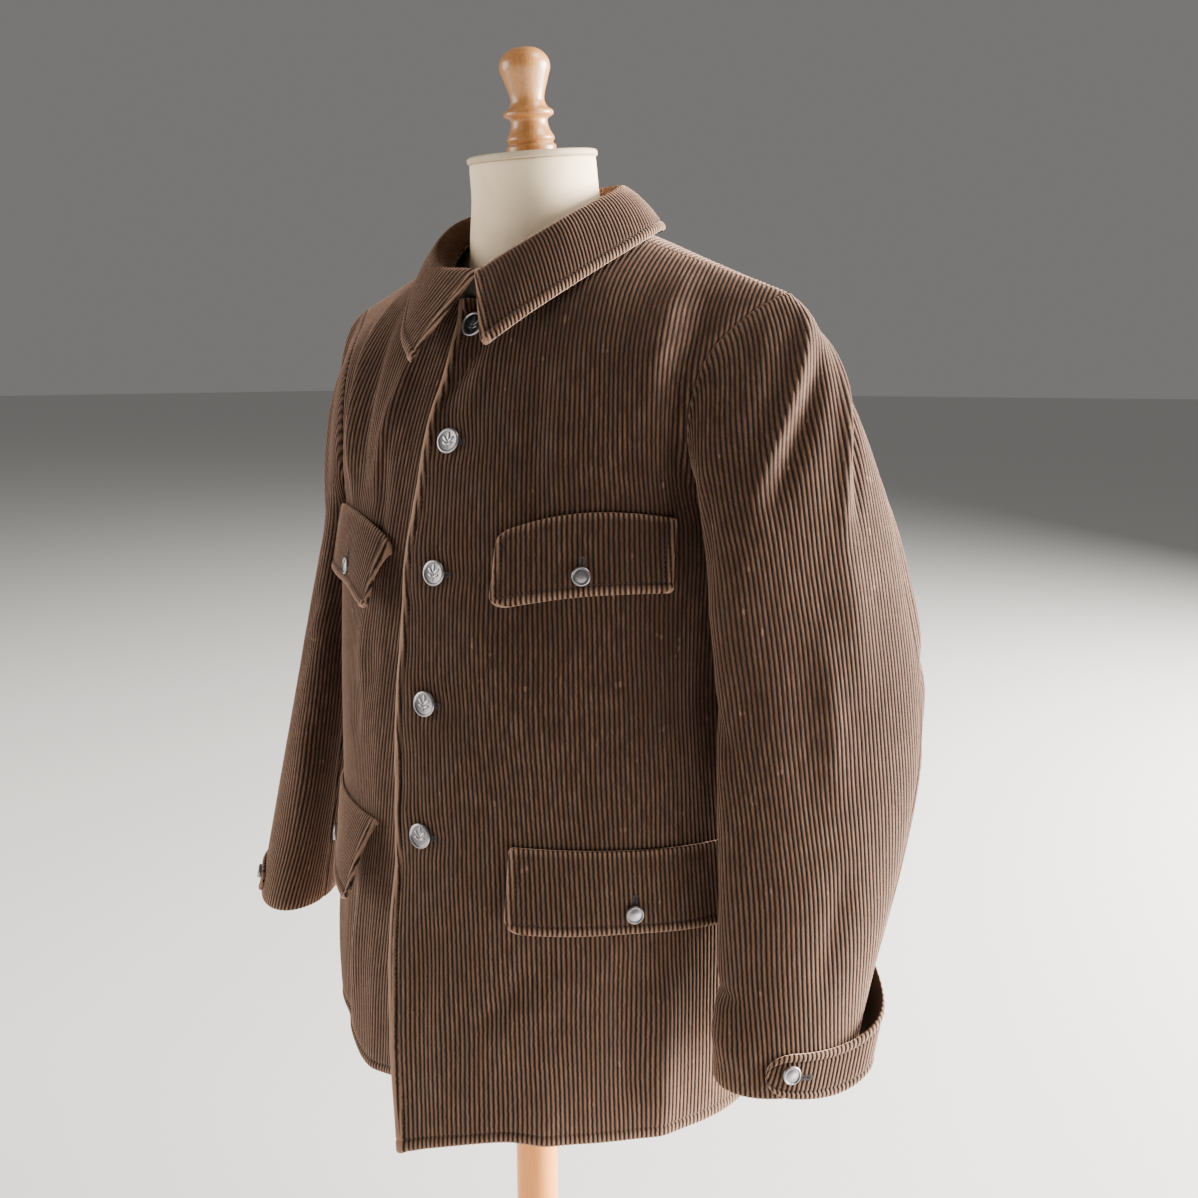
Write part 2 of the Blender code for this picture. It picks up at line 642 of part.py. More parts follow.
def panel_shares(steps, extra):
    """Shares of a front's or back's rows: even steps with extra ones, just short of the shoulder."""
    shares = np.linspace(0.0, 1.0, steps + 1)
    shares[-1] -= SHOULDER_SHARE
    return np.sort(np.append(shares, extra))


def build_fronts(collection):
    """Left and right fronts."""
    shares = panel_shares(FRONT_STEPS, [NECK_SHARE + 0.016, NEAR_SHOULDER])
    left = [left_front_points(share, front_across(share)) for share in shares]
    right = [right_front_points(share, front_across(share)) for share in shares]
    add_sheet(collection, "front_left", [(np.array(left), False)], CLOTH_WALL, CORDUROY)
    add_sheet(collection, "front_right", [(np.array(right), True)], CLOTH_WALL, CORDUROY)


def build_back(collection):
    """Back in one piece, laid in two halves that meet at the centre line."""
    columns = np.linspace(0.0, 1.0, BACK_COLUMNS + 1)
    shares = panel_shares(BACK_STEPS, [NEAR_SHOULDER])
    left, right = [], []
    for share in shares:
        across = columns * (row_length(BACK_ROWS, share) - SIDE_GAP)
        points = row_points(BACK_ROWS, share, across)
        right.append(level_hem(to_right(points)))
        left.append(level_hem(points))
    halves = [(np.array(left), True), (np.array(right), False)]
    add_sheet(collection, "back", halves, CLOTH_WALL, CORDUROY)


def sleeve_columns(first, last):
    """Turns of the columns between two counts of armhole steps, counted back and forward."""
    steps = np.arange(first, last + 1)
    front = steps * 0.5 / FRONT_ARMHOLE_STEPS
    up_back = 0.5 + (steps - FRONT_ARMHOLE_STEPS) * 0.5 / BACK_ARMHOLE_STEPS
    behind = steps * 0.5 / BACK_ARMHOLE_STEPS
    turns = np.where(steps < 0, behind, np.where(steps <= FRONT_ARMHOLE_STEPS, front, up_back))
    turns[0] += SLEEVE_SEAM_SHARE
    turns[-1] -= SLEEVE_SEAM_SHARE
    by_seams = [turns[0] + BY_SEAM_SHARE, turns[-1] - BY_SEAM_SHARE]
    return np.sort(np.append(turns, by_seams))


def build_sleeves(collection):
    """Top and under halves of both sleeves."""
    shares = np.linspace(0.0, 1.0, SLEEVE_STEPS + 1)
    whole = FRONT_ARMHOLE_STEPS + BACK_ARMHOLE_STEPS
    halves = (
        ("top", sleeve_columns(-BACK_SEAM_STEPS, FRONT_SEAM_STEPS)),
        ("under", sleeve_columns(FRONT_SEAM_STEPS, whole - BACK_SEAM_STEPS)),
    )
    for half, turns in halves:
        left = np.array([sleeve_points(LEFT_SLEEVE, share, turns) for share in shares])
        right = np.array([sleeve_points(RIGHT_SLEEVE, share, turns) for share in shares])
        name = "_" + half + "_sleeve"
        add_sheet(collection, "left" + name, [(left, False)], CLOTH_WALL, CORDUROY)
        add_sheet(collection, "right" + name, [(to_right(right), True)], CLOTH_WALL, CORDUROY)


def build_collar(collection):
    """Turned-down collar, laid in two halves that meet at the nape."""
    columns = np.linspace(0.0, 1.0, COLLAR_COLUMNS + 1)
    shares = np.linspace(0.0, 1.0, COLLAR_STEPS + 1)
    rows = np.array([collar_points(share, columns) for share in shares])
    halves = [(rows, True), (to_right(rows), False)]
    add_sheet(collection, "collar", halves, CLOTH_WALL, CORDUROY)


def build_flaps(collection):
    """Chest and hip pocket flaps on both fronts."""
    columns = np.linspace(0.0, 1.0, FLAP_COLUMNS + 1)
    drops = np.sin(np.linspace(0.0, 0.5, FLAP_STEPS + 1) * math.pi)
    for flap in (CHEST_FLAP, HIP_FLAP):
        sewn = (flap, flap.right_lower, flap.right_gape)
        left = np.array([flap_points(flap, 0.0, 0.0, drop, columns) for drop in drops])
        right = np.array([flap_points(*sewn, drop, columns) for drop in drops])
        name = flap.name + "_flap_"
        add_sheet(collection, name + "left", [(left, True)], FLAP_WALL, CORDUROY)
        add_sheet(collection, name + "right", [(to_right(right), False)], FLAP_WALL, CORDUROY)


def build_tabs(collection):
    """Cuff tabs on both sleeves."""
    columns = np.sin(np.linspace(0.0, 0.5, TAB_COLUMNS + 1) * math.pi) ** 0.9
    steps = np.linspace(0.0, 1.0, TAB_STEPS + 1)
    left = np.array([tab_points(LEFT_SLEEVE, step, columns) for step in steps])
    right = np.array([tab_points(RIGHT_SLEEVE, step, columns) for step in steps])
    add_sheet(collection, "cuff_tab_left", [(left, True)], CLOTH_WALL, CORDUROY)
    add_sheet(collection, "cuff_tab_right", [(to_right(right), False)], CLOTH_WALL, CORDUROY)


def add_turned(collection, name, profile, sides, look):
    """Turned piece: a profile swept round the Z axis."""
    mesh = bpy.data.meshes.new(name)
    points = [(radius, 0.0, height) for radius, height in profile]
    mesh.from_pydata(points, [(step, step + 1) for step in range(len(points) - 1)], [])
    piece = add_piece(collection, name, mesh, look)
    screw = piece.modifiers.new("turning", "SCREW")
    screw.steps = sides
    screw.render_steps = sides
    screw.use_merge_vertices = True
    screw.merge_threshold = 0.00001
    return piece


def button_profile(radius):
    """Radius and height pairs of a rimmed button that lies on the cloth."""
    return (
        (0.0, BUTTON_THICKNESS * 0.80),
        (radius * 0.70, BUTTON_THICKNESS * 0.70),
        (radius * 0.86, BUTTON_THICKNESS),
        (radius, BUTTON_THICKNESS * 0.70),
        (radius * 0.90, 0.0),
        (0.0, 0.0),
    )


def add_button(collection, name, point, facing, radius):
    """Button seated just above a point of the cloth, facing outwards."""
    piece = add_turned(collection, name, button_profile(radius), BUTTON_SIDES, METAL)
    piece.rotation_euler = Vector(facing).to_track_quat("Z", "Y").to_euler()
    piece.location = Vector(point) + Vector(facing) * BUTTON_SEAT
    return piece


def build_front_buttons(collection):
    """Buttons down the centre line, numbered from the top."""
    centre = np.array([0.0])
    for number, height in enumerate(FRONT_BUTTON_HEIGHTS, 1):
        share = front_share(height)
        point = row_points(FRONT_ROWS, share, centre)[0]
        facing = row_normals(FRONT_ROWS, share, centre)[0]
        name = f"front_button_{number}"
        add_button(collection, name, point, facing, FRONT_BUTTON_RADIUS)


def build_flap_buttons(collection):
    """One button low on the middle of each flap."""
    middle = np.array([0.5])
    ends = np.array([0.49, 0.51])
    for flap in (CHEST_FLAP, HIP_FLAP):
        share = 1.0 - flap.button_up / flap.drop
        for side, over in (("left", 1.0), ("right", -1.0)):
            sewn = (flap, flap.right_lower, flap.right_gape) if over < 0.0 else (flap, 0.0, 0.0)
            point = flap_points(*sewn, share, middle)[0]
            along = flap_points(*sewn, share, ends)
            rise = flap_points(*sewn, share - 0.1, middle)[0] - point
            facing = unit(np.cross(along[1] - along[0], rise))
            turn = np.array([over, 1.0, 1.0])
            name = flap.name + "_button_" + side
            add_button(collection, name, point * turn, facing * turn, SMALL_BUTTON_RADIUS)


def build_cuff_buttons(collection):
    """One button near the round end of each cuff tab."""
    spot = np.array([0.86])
    for side, rings in (("left", LEFT_SLEEVE), ("right", RIGHT_SLEEVE)):
        point = tab_points(rings, 0.5, spot)[0]
        along = tab_points(rings, 0.5, spot + 0.02)[0] - tab_points(rings, 0.5, spot - 0.02)[0]
        rise = tab_points(rings, 0.7, spot)[0] - tab_points(rings, 0.3, spot)[0]
        facing = unit(np.cross(rise, along))
        over = np.array([1.0 if side == "left" else -1.0, 1.0, 1.0])
        name = "cuff_button_" + side
        add_button(collection, name, point * over, facing * over, SMALL_BUTTON_RADIUS)


def form_ring(half_width, front, back, middle, height, fullness):
    """Ring of the dress form with its own front and back reach; fullness 2 makes it an ellipse."""
    angle = np.linspace(0.0, 2.0 * math.pi, FORM_SIDES, endpoint=False)
    side = np.sign(np.cos(angle)) * np.abs(np.cos(angle)) ** (2.0 / fullness)
    fore = np.sign(np.sin(angle)) * np.abs(np.sin(angle)) ** (2.0 / fullness)
    depth = np.where(fore < 0.0, middle - front, back - middle)
    return np.stack([half_width * side, middle + depth * fore, np.full(FORM_SIDES, height)], axis=1)


def shoulder_ridge(share):
    """Point of the form's shoulder just under the jacket's shoulder seam."""
    seam = FRONT_ROWS[FRONT_LAST]
    neck = np.array([seam.centre_x, seam.centre_y, seam.centre_z])
    point = np.array([seam.side_x, seam.side_y, seam.side_z])
    along = unit(point - neck)
    down = unit(np.array([along[2], 0.0, -along[0]]))
    behind = np.array([0.0, FORM_RIDGE_BACK, 0.0])
    return neck + (point - neck) * share + behind + down * (CLOTH_WALL + SEAM_GAP)


def neck_ring(radius, below):
    """Leaning ring of the neck at a distance below its top."""
    angle = np.linspace(0.0, 2.0 * math.pi, FORM_SIDES, endpoint=False)
    lean = np.array([0.0, -math.sin(NECK_LEAN), math.cos(NECK_LEAN)])
    fore = np.array([0.0, math.cos(NECK_LEAN), math.sin(NECK_LEAN)])
    middle = np.array([0.0, NECK_TOP_Y, NECK_TOP_Z]) - lean * below
    side = np.array([1.0, 0.0, 0.0]) * np.cos(angle)[:, None]
    return middle + radius * (side + fore * np.sin(angle)[:, None])


def form_rings():
    """Rings of torso, shoulders and neck from the underside up."""
    rings = []
    for share in np.linspace(0.0, 1.0, 13):
        ring = section(FORM_RINGS, share)
        rings.append(form_ring(ring.half_width, ring.front, ring.back, 0.03, ring.z, 2.0))
    for share in FORM_SHOULDER_SHARES:
        x, y, z = shoulder_ridge(share)
        front = y - FORM_SHOULDER_FRONT * (0.7 + 0.3 * share)
        back = y + FORM_SHOULDER_BACK * (0.7 + 0.3 * share)
        rings.append(form_ring(x, front, back, y, z, 1.0 + 0.2 * share))
    rings.append(neck_ring(NECK_BASE_RADIUS, NECK_LENGTH))
    rings.append(neck_ring(NECK_TOP_RADIUS + 0.001, NECK_LENGTH * 0.5))
    rings.append(neck_ring(NECK_TOP_RADIUS, 0.0))
    return rings


def build_form(collection):
    """Torso and neck of the dress form as one loft."""
    rings = form_rings()
    loft = bmesh.new()
    loops = [[loft.verts.new(point) for point in ring] for ring in rings]
    for lower, upper in zip(loops, loops[1:]):
        for here in range(FORM_SIDES):
            there = (here + 1) % FORM_SIDES
            loft.faces.new((lower[here], lower[there], upper[there], upper[here]))
    loft.faces.new(list(reversed(loops[0])))
    loft.faces.new(loops[-1])
    mesh = bpy.data.meshes.new("form_torso")
    loft.to_mesh(mesh)
    loft.free()
    add_piece(collection, "form_torso", mesh, LINEN)


def build_stand(collection):
    """Neck plate, finial, pole and base."""
    lean = Vector((0.0, -math.sin(NECK_LEAN), math.cos(NECK_LEAN)))
    tilt = Matrix.Rotation(NECK_LEAN, 4, "X").to_euler()
    top = Vector((0.0, NECK_TOP_Y, NECK_TOP_Z))
    gap = 0.0003
    rim = PLATE_THICKNESS * 0.25
    plate_profile = (
        (0.0, PLATE_THICKNESS),
        (PLATE_RADIUS - rim, PLATE_THICKNESS),
        (PLATE_RADIUS, PLATE_THICKNESS - rim),
        (PLATE_RADIUS, rim),
        (PLATE_RADIUS - rim, 0.0),
        (0.0, 0.0),
    )
    plate = add_turned(collection, "neck_plate", plate_profile, TURNED_SIDES, PALE_WOOD)
    plate.rotation_euler = tilt
    plate.location = top + lean * gap
    finial = add_turned(collection, "finial", FINIAL_PROFILE, TURNED_SIDES, DARK_WOOD)
    finial.rotation_euler = tilt
    finial.location = top + lean * (PLATE_THICKNESS + 2.0 * gap)
    base_top = BASE_PROFILE[0][1]
    pole_top = FORM_RINGS[0].z - gap
    pole_profile = (
        (0.0, pole_top),
        (POLE_RADIUS, pole_top),
        (POLE_RADIUS, base_top + gap),
        (0.0, base_top + gap),
    )
    add_turned(collection, "pole", pole_profile, TURNED_SIDES, PALE_WOOD)
    add_turned(collection, "base", BASE_PROFILE, TURNED_SIDES + 12, PALE_WOOD)


def main():
    """Build the jacket and what it hangs on in a collection of their own."""
    for old in list(bpy.data.objects):
        bpy.data.objects.remove(old, do_unlink=True)
    collection = bpy.data.collections.new(OBJECT_NAME)
    bpy.context.scene.collection.children.link(collection)
    build_fronts(collection)
    build_back(collection)
    build_sleeves(collection)
    build_collar(collection)
    build_flaps(collection)
    build_tabs(collection)
    build_front_buttons(collection)
    build_flap_buttons(collection)
    build_cuff_buttons(collection)
    build_form(collection)
    build_stand(collection)


if __name__ == "__main__":
    main()
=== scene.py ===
# %% [markdown]
# # A corduroy hunting jacket on a dress form
# The imported solids give every piece its place. In this lesson each piece of cloth is laid again over
# the same sections as a thin ribbed shell, and the hard pieces get their turned and stamped shapes.
# The solids are loaded first, and nothing that follows moves them.

# %% Load the solids
import math
from collections import namedtuple

import bpy
import numpy as np
from mathutils import Matrix, Vector


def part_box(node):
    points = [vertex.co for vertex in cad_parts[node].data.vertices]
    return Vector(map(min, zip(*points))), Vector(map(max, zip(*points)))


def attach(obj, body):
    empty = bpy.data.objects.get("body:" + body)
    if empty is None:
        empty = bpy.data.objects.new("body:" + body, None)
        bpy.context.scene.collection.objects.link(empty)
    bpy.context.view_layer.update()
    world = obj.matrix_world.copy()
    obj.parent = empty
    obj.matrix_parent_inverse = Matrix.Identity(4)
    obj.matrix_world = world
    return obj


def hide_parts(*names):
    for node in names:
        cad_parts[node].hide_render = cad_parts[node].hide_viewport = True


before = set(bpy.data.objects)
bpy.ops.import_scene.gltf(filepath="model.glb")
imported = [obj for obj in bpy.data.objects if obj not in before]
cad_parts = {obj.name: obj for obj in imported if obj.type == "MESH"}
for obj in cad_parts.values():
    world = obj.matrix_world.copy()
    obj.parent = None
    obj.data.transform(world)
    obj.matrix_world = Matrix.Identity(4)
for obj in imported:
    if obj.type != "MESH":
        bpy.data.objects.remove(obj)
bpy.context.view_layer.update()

bpy.ops.object.select_all(action="DESELECT")

# %% [markdown]
# ## Camera
# The jacket is seen from its left front, a little above its middle and from close by, so the lower
# edge looks further away than the collar. A camera could be aimed with a constraint, but a matrix
# built from heading, pitch and yaw says exactly where it looks and needs nothing live.

# %% Camera at the photograph's angle
EYE_HEADING = math.radians(35.0)
EYE_DISTANCE = 1.116
EYE_HEIGHT = 1.12
EYE_PITCH = math.radians(-11.03)
EYE_YAW = math.radians(-3.46)
PICTURE_SIDE = 1198
FOCAL_PIXELS = 1150
SENSOR = 36.0
SIDEWAYS = Vector((math.cos(EYE_HEADING), math.sin(EYE_HEADING), 0.0))
AHEAD = Vector((-math.sin(EYE_HEADING), math.cos(EYE_HEADING), 0.0))
UPWARDS = Vector((0.0, 0.0, 1.0))


def link_new(name, data):
    """New object in the scene that shows the given data."""
    made = bpy.data.objects.new(name, data)
    bpy.context.scene.collection.objects.link(made)
    return made


def aim_camera():
    """Camera looking at the jacket from its left front."""
    across = SIDEWAYS * math.cos(EYE_YAW) + AHEAD * math.sin(EYE_YAW)
    level = AHEAD * math.cos(EYE_YAW) - SIDEWAYS * math.sin(EYE_YAW)
    up = UPWARDS * math.cos(EYE_PITCH) - level * math.sin(EYE_PITCH)
    lens = bpy.data.cameras.new("camera")
    lens.sensor_width = SENSOR
    lens.lens = SENSOR * FOCAL_PIXELS / PICTURE_SIDE
    eye = link_new("camera", lens)
    turn = Matrix((across, up, across.cross(up))).transposed().to_4x4()
    place = AHEAD * -EYE_DISTANCE + UPWARDS * EYE_HEIGHT
    eye.matrix_world = Matrix.Translation(place) @ turn
    bpy.context.scene.camera = eye
    return eye


camera = aim_camera()
print("camera at", [round(value, 3) for value in camera.matrix_world.translation])

# %% [markdown]
# ## The cut of the cloth
# A worn jacket is easiest to describe by level sections: where each row of cloth starts at the
# centre, where it ends at the side or armhole, and how it curves between. The tables repeat the
# sections of the solids, so the finer cloth lies exactly where the solids are.

# %% Sections of fronts and back
MIRROR = np.array([-1.0, 1.0, 1.0])
# Each row: centre x y z, side x y z, straight run at the centre and at the side as shares of the
# chord, heading at the side in degrees, and how far the start follows the chord. The back ends with
# the front's rows over the shoulder, from the back to the front.
FRONT_ROWS = np.array((
    (0.000, -0.198, 0.450, 0.230, 0.030, 0.450, 0.27, 0.35, 90, 0.0),
    (0.000, -0.190, 0.565, 0.231, 0.030, 0.565, 0.27, 0.35, 90, 0.0),
    (0.000, -0.175, 0.700, 0.231, 0.030, 0.700, 0.27, 0.36, 90, 0.0),
    (0.000, -0.163, 0.830, 0.228, 0.026, 0.830, 0.31, 0.35, 90, 0.0),
    (0.000, -0.146, 0.940, 0.223, 0.022, 0.930, 0.36, 0.34, 90, 0.0),
    (0.000, -0.134, 1.010, 0.220, 0.022, 0.985, 0.40, 0.32, 88, 0.0),
    (0.000, -0.121, 1.060, 0.203, -0.034, 1.020, 0.42, 0.30, 68, 0.0),
    (0.000, -0.104, 1.110, 0.194, -0.048, 1.075, 0.42, 0.30, 52, 0.0),
    (0.000, -0.077, 1.175, 0.200, -0.032, 1.130, 0.40, 0.30, 38, 0.1),
    (0.052, -0.050, 1.208, 0.218, 0.008, 1.168, 0.36, 0.30, 26, 0.6),
    (0.080, 0.024, 1.250, 0.239, 0.046, 1.190, 0.33, 0.33, 8, 1.0),
    (0.056, 0.080, 1.260, 0.233, 0.066, 1.182, 0.34, 0.30, -8, 0.6),
))
BACK_ROWS = np.array((
    (0.000, 0.168, 0.450, 0.230, 0.030, 0.450, 0.46, 0.34, -90, 0.0),
    (0.000, 0.160, 0.565, 0.231, 0.030, 0.565, 0.46, 0.34, -90, 0.0),
    (0.000, 0.150, 0.700, 0.231, 0.030, 0.700, 0.46, 0.34, -90, 0.0),
    (0.000, 0.142, 0.830, 0.228, 0.026, 0.830, 0.46, 0.34, -90, 0.0),
    (0.000, 0.147, 0.940, 0.223, 0.022, 0.930, 0.46, 0.34, -90, 0.0),
    (0.000, 0.152, 1.020, 0.220, 0.022, 0.985, 0.46, 0.34, -88, 0.0),
    (0.000, 0.154, 1.080, 0.208, 0.082, 1.030, 0.44, 0.30, -62, 0.0),
    (0.000, 0.149, 1.140, 0.201, 0.104, 1.085, 0.42, 0.30, -44, 0.0),
    (0.000, 0.136, 1.200, 0.208, 0.102, 1.135, 0.40, 0.30, -32, 0.0),
    (0.000, 0.106, 1.260, 0.224, 0.084, 1.168, 0.38, 0.30, -22, 0.1),
    *FRONT_ROWS[:8:-1],
))
ARMPIT_ROW = 5
FRONT_LAST, BACK_LAST = len(FRONT_ROWS) - 2, len(BACK_ROWS) - 2
FRONT_NECK_ROW, BACK_NECK_ROW = 8, 9
NECK_SHARE, NAPE_SHARE = FRONT_NECK_ROW / FRONT_LAST, BACK_NECK_ROW / BACK_LAST
print("front rows:", len(FRONT_ROWS), "back rows:", len(BACK_ROWS))

# %% Helpers for numbers and lines


def unit(vectors):
    """Vectors scaled to length one."""
    return vectors / np.maximum(np.linalg.norm(vectors, axis=-1, keepdims=True), 1e-12)


def ease(start, end, values):
    """Zero before start, one after end and a smooth rise between."""
    share = np.clip((np.asarray(values, dtype=float) - start) / (end - start), 0.0, 1.0)
    return share * share * (3.0 - 2.0 * share)


def bell(distance, width):
    """One at distance nought, fading to nought at both sides."""
    return np.exp(-((distance / width) ** 2))


def run_lengths(line):
    """Distances along a line of points from its first one."""
    return np.concatenate(([0.0], np.cumsum(np.linalg.norm(np.diff(line, axis=0), axis=1))))


def between(spots, run, table):
    """Values of a table at distances between those of its rows."""
    return np.stack([np.interp(spots, run, table[:, axis]) for axis in range(table.shape[1])], -1)


def on_side(points, over):
    """Points drawn in the wearer's left, mirrored to the right where over is minus one."""
    return points * np.array([over, 1.0, 1.0])


print("a smooth rise is", float(ease(0.0, 1.0, 0.25)), "high after a quarter of the way")

# %% Curves through the sections
ARC_STEPS = 64


def smooth_step(before, near, far, after, step):
    """Point between near and far on a smooth curve through four points."""
    leave, arrive = (far - before) / 2.0, (after - near) / 2.0
    square, cube = step * step, step * step * step
    near_part = near * (2.0 * cube - 3.0 * square + 1.0) + leave * (cube - 2.0 * square + step)
    return near_part + far * (3.0 * square - 2.0 * cube) + arrive * (cube - square)


def section(rows, share):
    """A table's values at a share of its rows, on a smooth curve through the rows."""
    place = min(max(share, 0.0), 1.0) * (len(rows) - 1)
    index = min(int(place), len(rows) - 2)
    near, far = rows[index], rows[index + 1]
    before = rows[index - 1] if index > 0 else 2.0 * near - far
    after = rows[index + 2] if index + 2 < len(rows) else 2.0 * far - near
    return smooth_step(before, near, far, after, place - index)


def body_row(rows, neck_row, share):
    """Values of a front or back row; its edges turn corners at the armpit and the neck."""
    place = share * (len(rows) - 2)
    index = min(max(int(place), 0), len(rows) - 3)
    near, far = rows[index], rows[index + 1]
    before = rows[index - 1].copy() if index > 0 else 2.0 * near - far
    after = rows[index + 2].copy()
    for corner, edge in ((ARMPIT_ROW, slice(3, 6)), (neck_row, slice(0, 3))):
        if index + 1 == corner:
            after[edge] = (2.0 * far - near)[edge]
        if index == corner:
            before[edge] = (2.0 * near - far)[edge]
    if index == neck_row:
        before[0:3] = far[0:3] * MIRROR
    row = smooth_step(before, near, far, after, place - index)
    row[0] = max(row[0], 0.0)
    return row


def arc(controls, share):
    """Points of a cubic curve with four control points."""
    first, second, third, fourth = controls
    left = 1.0 - share
    early = first * left**3 + 3.0 * second * left**2 * share
    return early + 3.0 * third * left * share**2 + fourth * share**3


def row_line(row, across):
    """Points of a row at distances from the centre line, and the distance of its side."""
    start, end = row[0:3], row[3:6]
    chord = end - start
    length = np.linalg.norm(chord)
    ahead = unit(np.array([1.0, 0.0, 0.0]) * (1.0 - row[9]) + chord / length * row[9])
    heading = math.radians(row[8])
    fall = chord[2] / math.hypot(chord[0], chord[1])
    arrive = unit(np.array([math.cos(heading), math.sin(heading), fall]))
    controls = (start, start + ahead * row[6] * length, end - arrive * row[7] * length, end)
    shares = np.linspace(0.0, 1.0, ARC_STEPS + 1)
    run = run_lengths(arc(controls, shares[:, None]))
    out = across - start[0]
    points = arc(controls, np.interp(np.abs(out), run, shares)[:, None])
    past, beyond = out < 0.0, out > run[-1]
    if start[0] > 0.0:
        points[past] = start + ahead * out[past, None]
    else:
        points[past] *= MIRROR
    points[beyond] = end + arrive * (out[beyond, None] - run[-1])
    return points, start[0] + run[-1]


print("height at a tenth of the front:", round(body_row(FRONT_ROWS, FRONT_NECK_ROW, 0.1)[2], 3))

# %% [markdown]
# ## Cloth as a map
# Every later piece asks the same question: which point of the body lies at this height and this
# distance from the centre? Working it out anew for each of half a million points would be slow, so
# the surfaces are drawn up once as fine maps, and points between the map's lines are blended.

# %% Maps of fronts and back
Panel = namedtuple("Panel", "shares across points low high", defaults=(None, None))
MAP_LOW, MAP_ROWS = -0.06, 320
MAP_ACROSS = np.arange(-0.045, 0.440, 0.002)
BEND_ROWS, BEND_WIDTH, BEND_NEAR, BEND_TOP = 24, 10.0, 0.07, 0.96
BEND_FROM, BEND_FULL = 0.045, 0.110


def draw_panel(rows, neck_row):
    """Map of a front or back over shares of its height and distances from the centre line."""
    shares = np.linspace(MAP_LOW, 1.0, MAP_ROWS)
    points, low, high = [], [], []
    for share in shares:
        row = body_row(rows, neck_row, share)
        line, side = row_line(row, MAP_ACROSS)
        points.append(line)
        low.append(row[0])
        high.append(side)
    points = soften_bend(np.array(points), shares, neck_row / (len(rows) - 2))
    return Panel(shares, MAP_ACROSS, points, np.array(low), np.array(high))


def soften_bend(points, shares, bend):
    """The map with its bend at the neck's row spread over a hand's width, away from the neckline."""
    weights = bell(np.arange(-BEND_ROWS, BEND_ROWS + 1), BEND_WIDTH)
    weights = weights / weights.sum()
    padded = np.pad(points, ((BEND_ROWS, BEND_ROWS), (0, 0), (0, 0)), mode="edge")
    spread_out = sum(weight * padded[row : row + len(points)] for row, weight in enumerate(weights))
    near = bell(shares - bend, BEND_NEAR) * (shares < BEND_TOP)
    part = near[:, None] * ease(BEND_FROM, BEND_FULL, MAP_ACROSS)[None, :]
    return points + (spread_out - points) * part[..., None]


FRONT = draw_panel(FRONT_ROWS, FRONT_NECK_ROW)
BACK = draw_panel(BACK_ROWS, BACK_NECK_ROW)
print("maps of", MAP_ROWS, "rows by", len(MAP_ACROSS), "places across")

# %% Points on a map
NORMAL_REACH = 1.5
INSIDE_LAST = 1.000001
SIDE_GAP, ARMHOLE_REACH, ARMPIT_EASE = 0.0006, 0.0012, 0.03
LEFT_HEM_TILT, RIGHT_HEM_TILT, HEM_TILT_TOP = 0.10, 0.19, 0.78


def on_panel(panel, share, across):
    """Points of a map at shares of its height and distances across it."""
    share, across = np.broadcast_arrays(np.asarray(share, float), np.asarray(across, float))
    row = (share - panel.shares[0]) / (panel.shares[1] - panel.shares[0])
    column = (across - panel.across[0]) / (panel.across[1] - panel.across[0])
    row = np.clip(row, 0.0, len(panel.shares) - INSIDE_LAST)
    column = np.clip(column, 0.0, len(panel.across) - INSIDE_LAST)
    near, left = row.astype(int), column.astype(int)
    up, over = (row - near)[..., None], (column - left)[..., None]
    lower = panel.points[near, left] * (1.0 - over) + panel.points[near, left + 1] * over
    upper = panel.points[near + 1, left] * (1.0 - over) + panel.points[near + 1, left + 1] * over
    return lower * (1.0 - up) + upper * up


def panel_normals(panel, share, across, facing):
    """Outward directions of a map."""
    reach = NORMAL_REACH * (panel.across[1] - panel.across[0])
    rise = NORMAL_REACH * (panel.shares[1] - panel.shares[0])
    side = on_panel(panel, share, across + reach) - on_panel(panel, share, across - reach)
    up = on_panel(panel, share + rise, across) - on_panel(panel, share - rise, across)
    return facing * unit(np.cross(side, up))


def lifted(panel, share, across, lift, facing=1.0):
    """Points of a map moved out along its directions."""
    out = panel_normals(panel, share, across, facing)
    return on_panel(panel, share, across) + out * lift[..., None]


def run_along(panel, across):
    """Distance of each of a map's rows along one of its lines, from the row at share nought."""
    line = on_panel(panel, panel.shares, np.full(len(panel.shares), across))
    run = run_lengths(line)
    return run - np.interp(0.0, panel.shares, run)


FRONT_HEIGHTS = on_panel(FRONT, FRONT.shares, np.zeros(MAP_ROWS))[:, 2]


def front_share(height):
    """Share of the front's rows at a height on its centre edge."""
    top = FRONT.shares <= NECK_SHARE
    return np.interp(height, FRONT_HEIGHTS[top], FRONT.shares[top])


def seam_reach(level, armpit):
    """A hair short of the side seam below the armpit, and under the sleeve's edge above it."""
    return -SIDE_GAP + (SIDE_GAP + ARMHOLE_REACH) * ease(armpit, armpit + ARMPIT_EASE, level)


def level_hem(points):
    """Points of the skirt let down on the wearer's left and drawn up on the right."""
    drop = (HEM_TILT_TOP - points[..., 2]) / (HEM_TILT_TOP - FRONT_ROWS[0, 2])
    low = np.clip(drop, 0.0, 1.0)
    tilt = np.where(points[..., 0] > 0.0, LEFT_HEM_TILT, RIGHT_HEM_TILT)
    levelled = points.copy()
    levelled[..., 2] -= tilt * points[..., 0] * low**2
    return levelled


print("front half width at the hem:", round(float(np.interp(0.0, FRONT.shares, FRONT.high)), 3))

# %% [markdown]
# ## Wales
# Corduroy is a plain ground with rows of tufted pile, the wales, that run the length of the cloth.
# They could be painted as bump alone, but here they are real ridges: the mesh has six lines of points
# to each wale, all at the same distance across the cut. A piece may give its wales a lean first. Each
# wale is then cut off where the edge of the piece crosses it, as it would be by scissors.

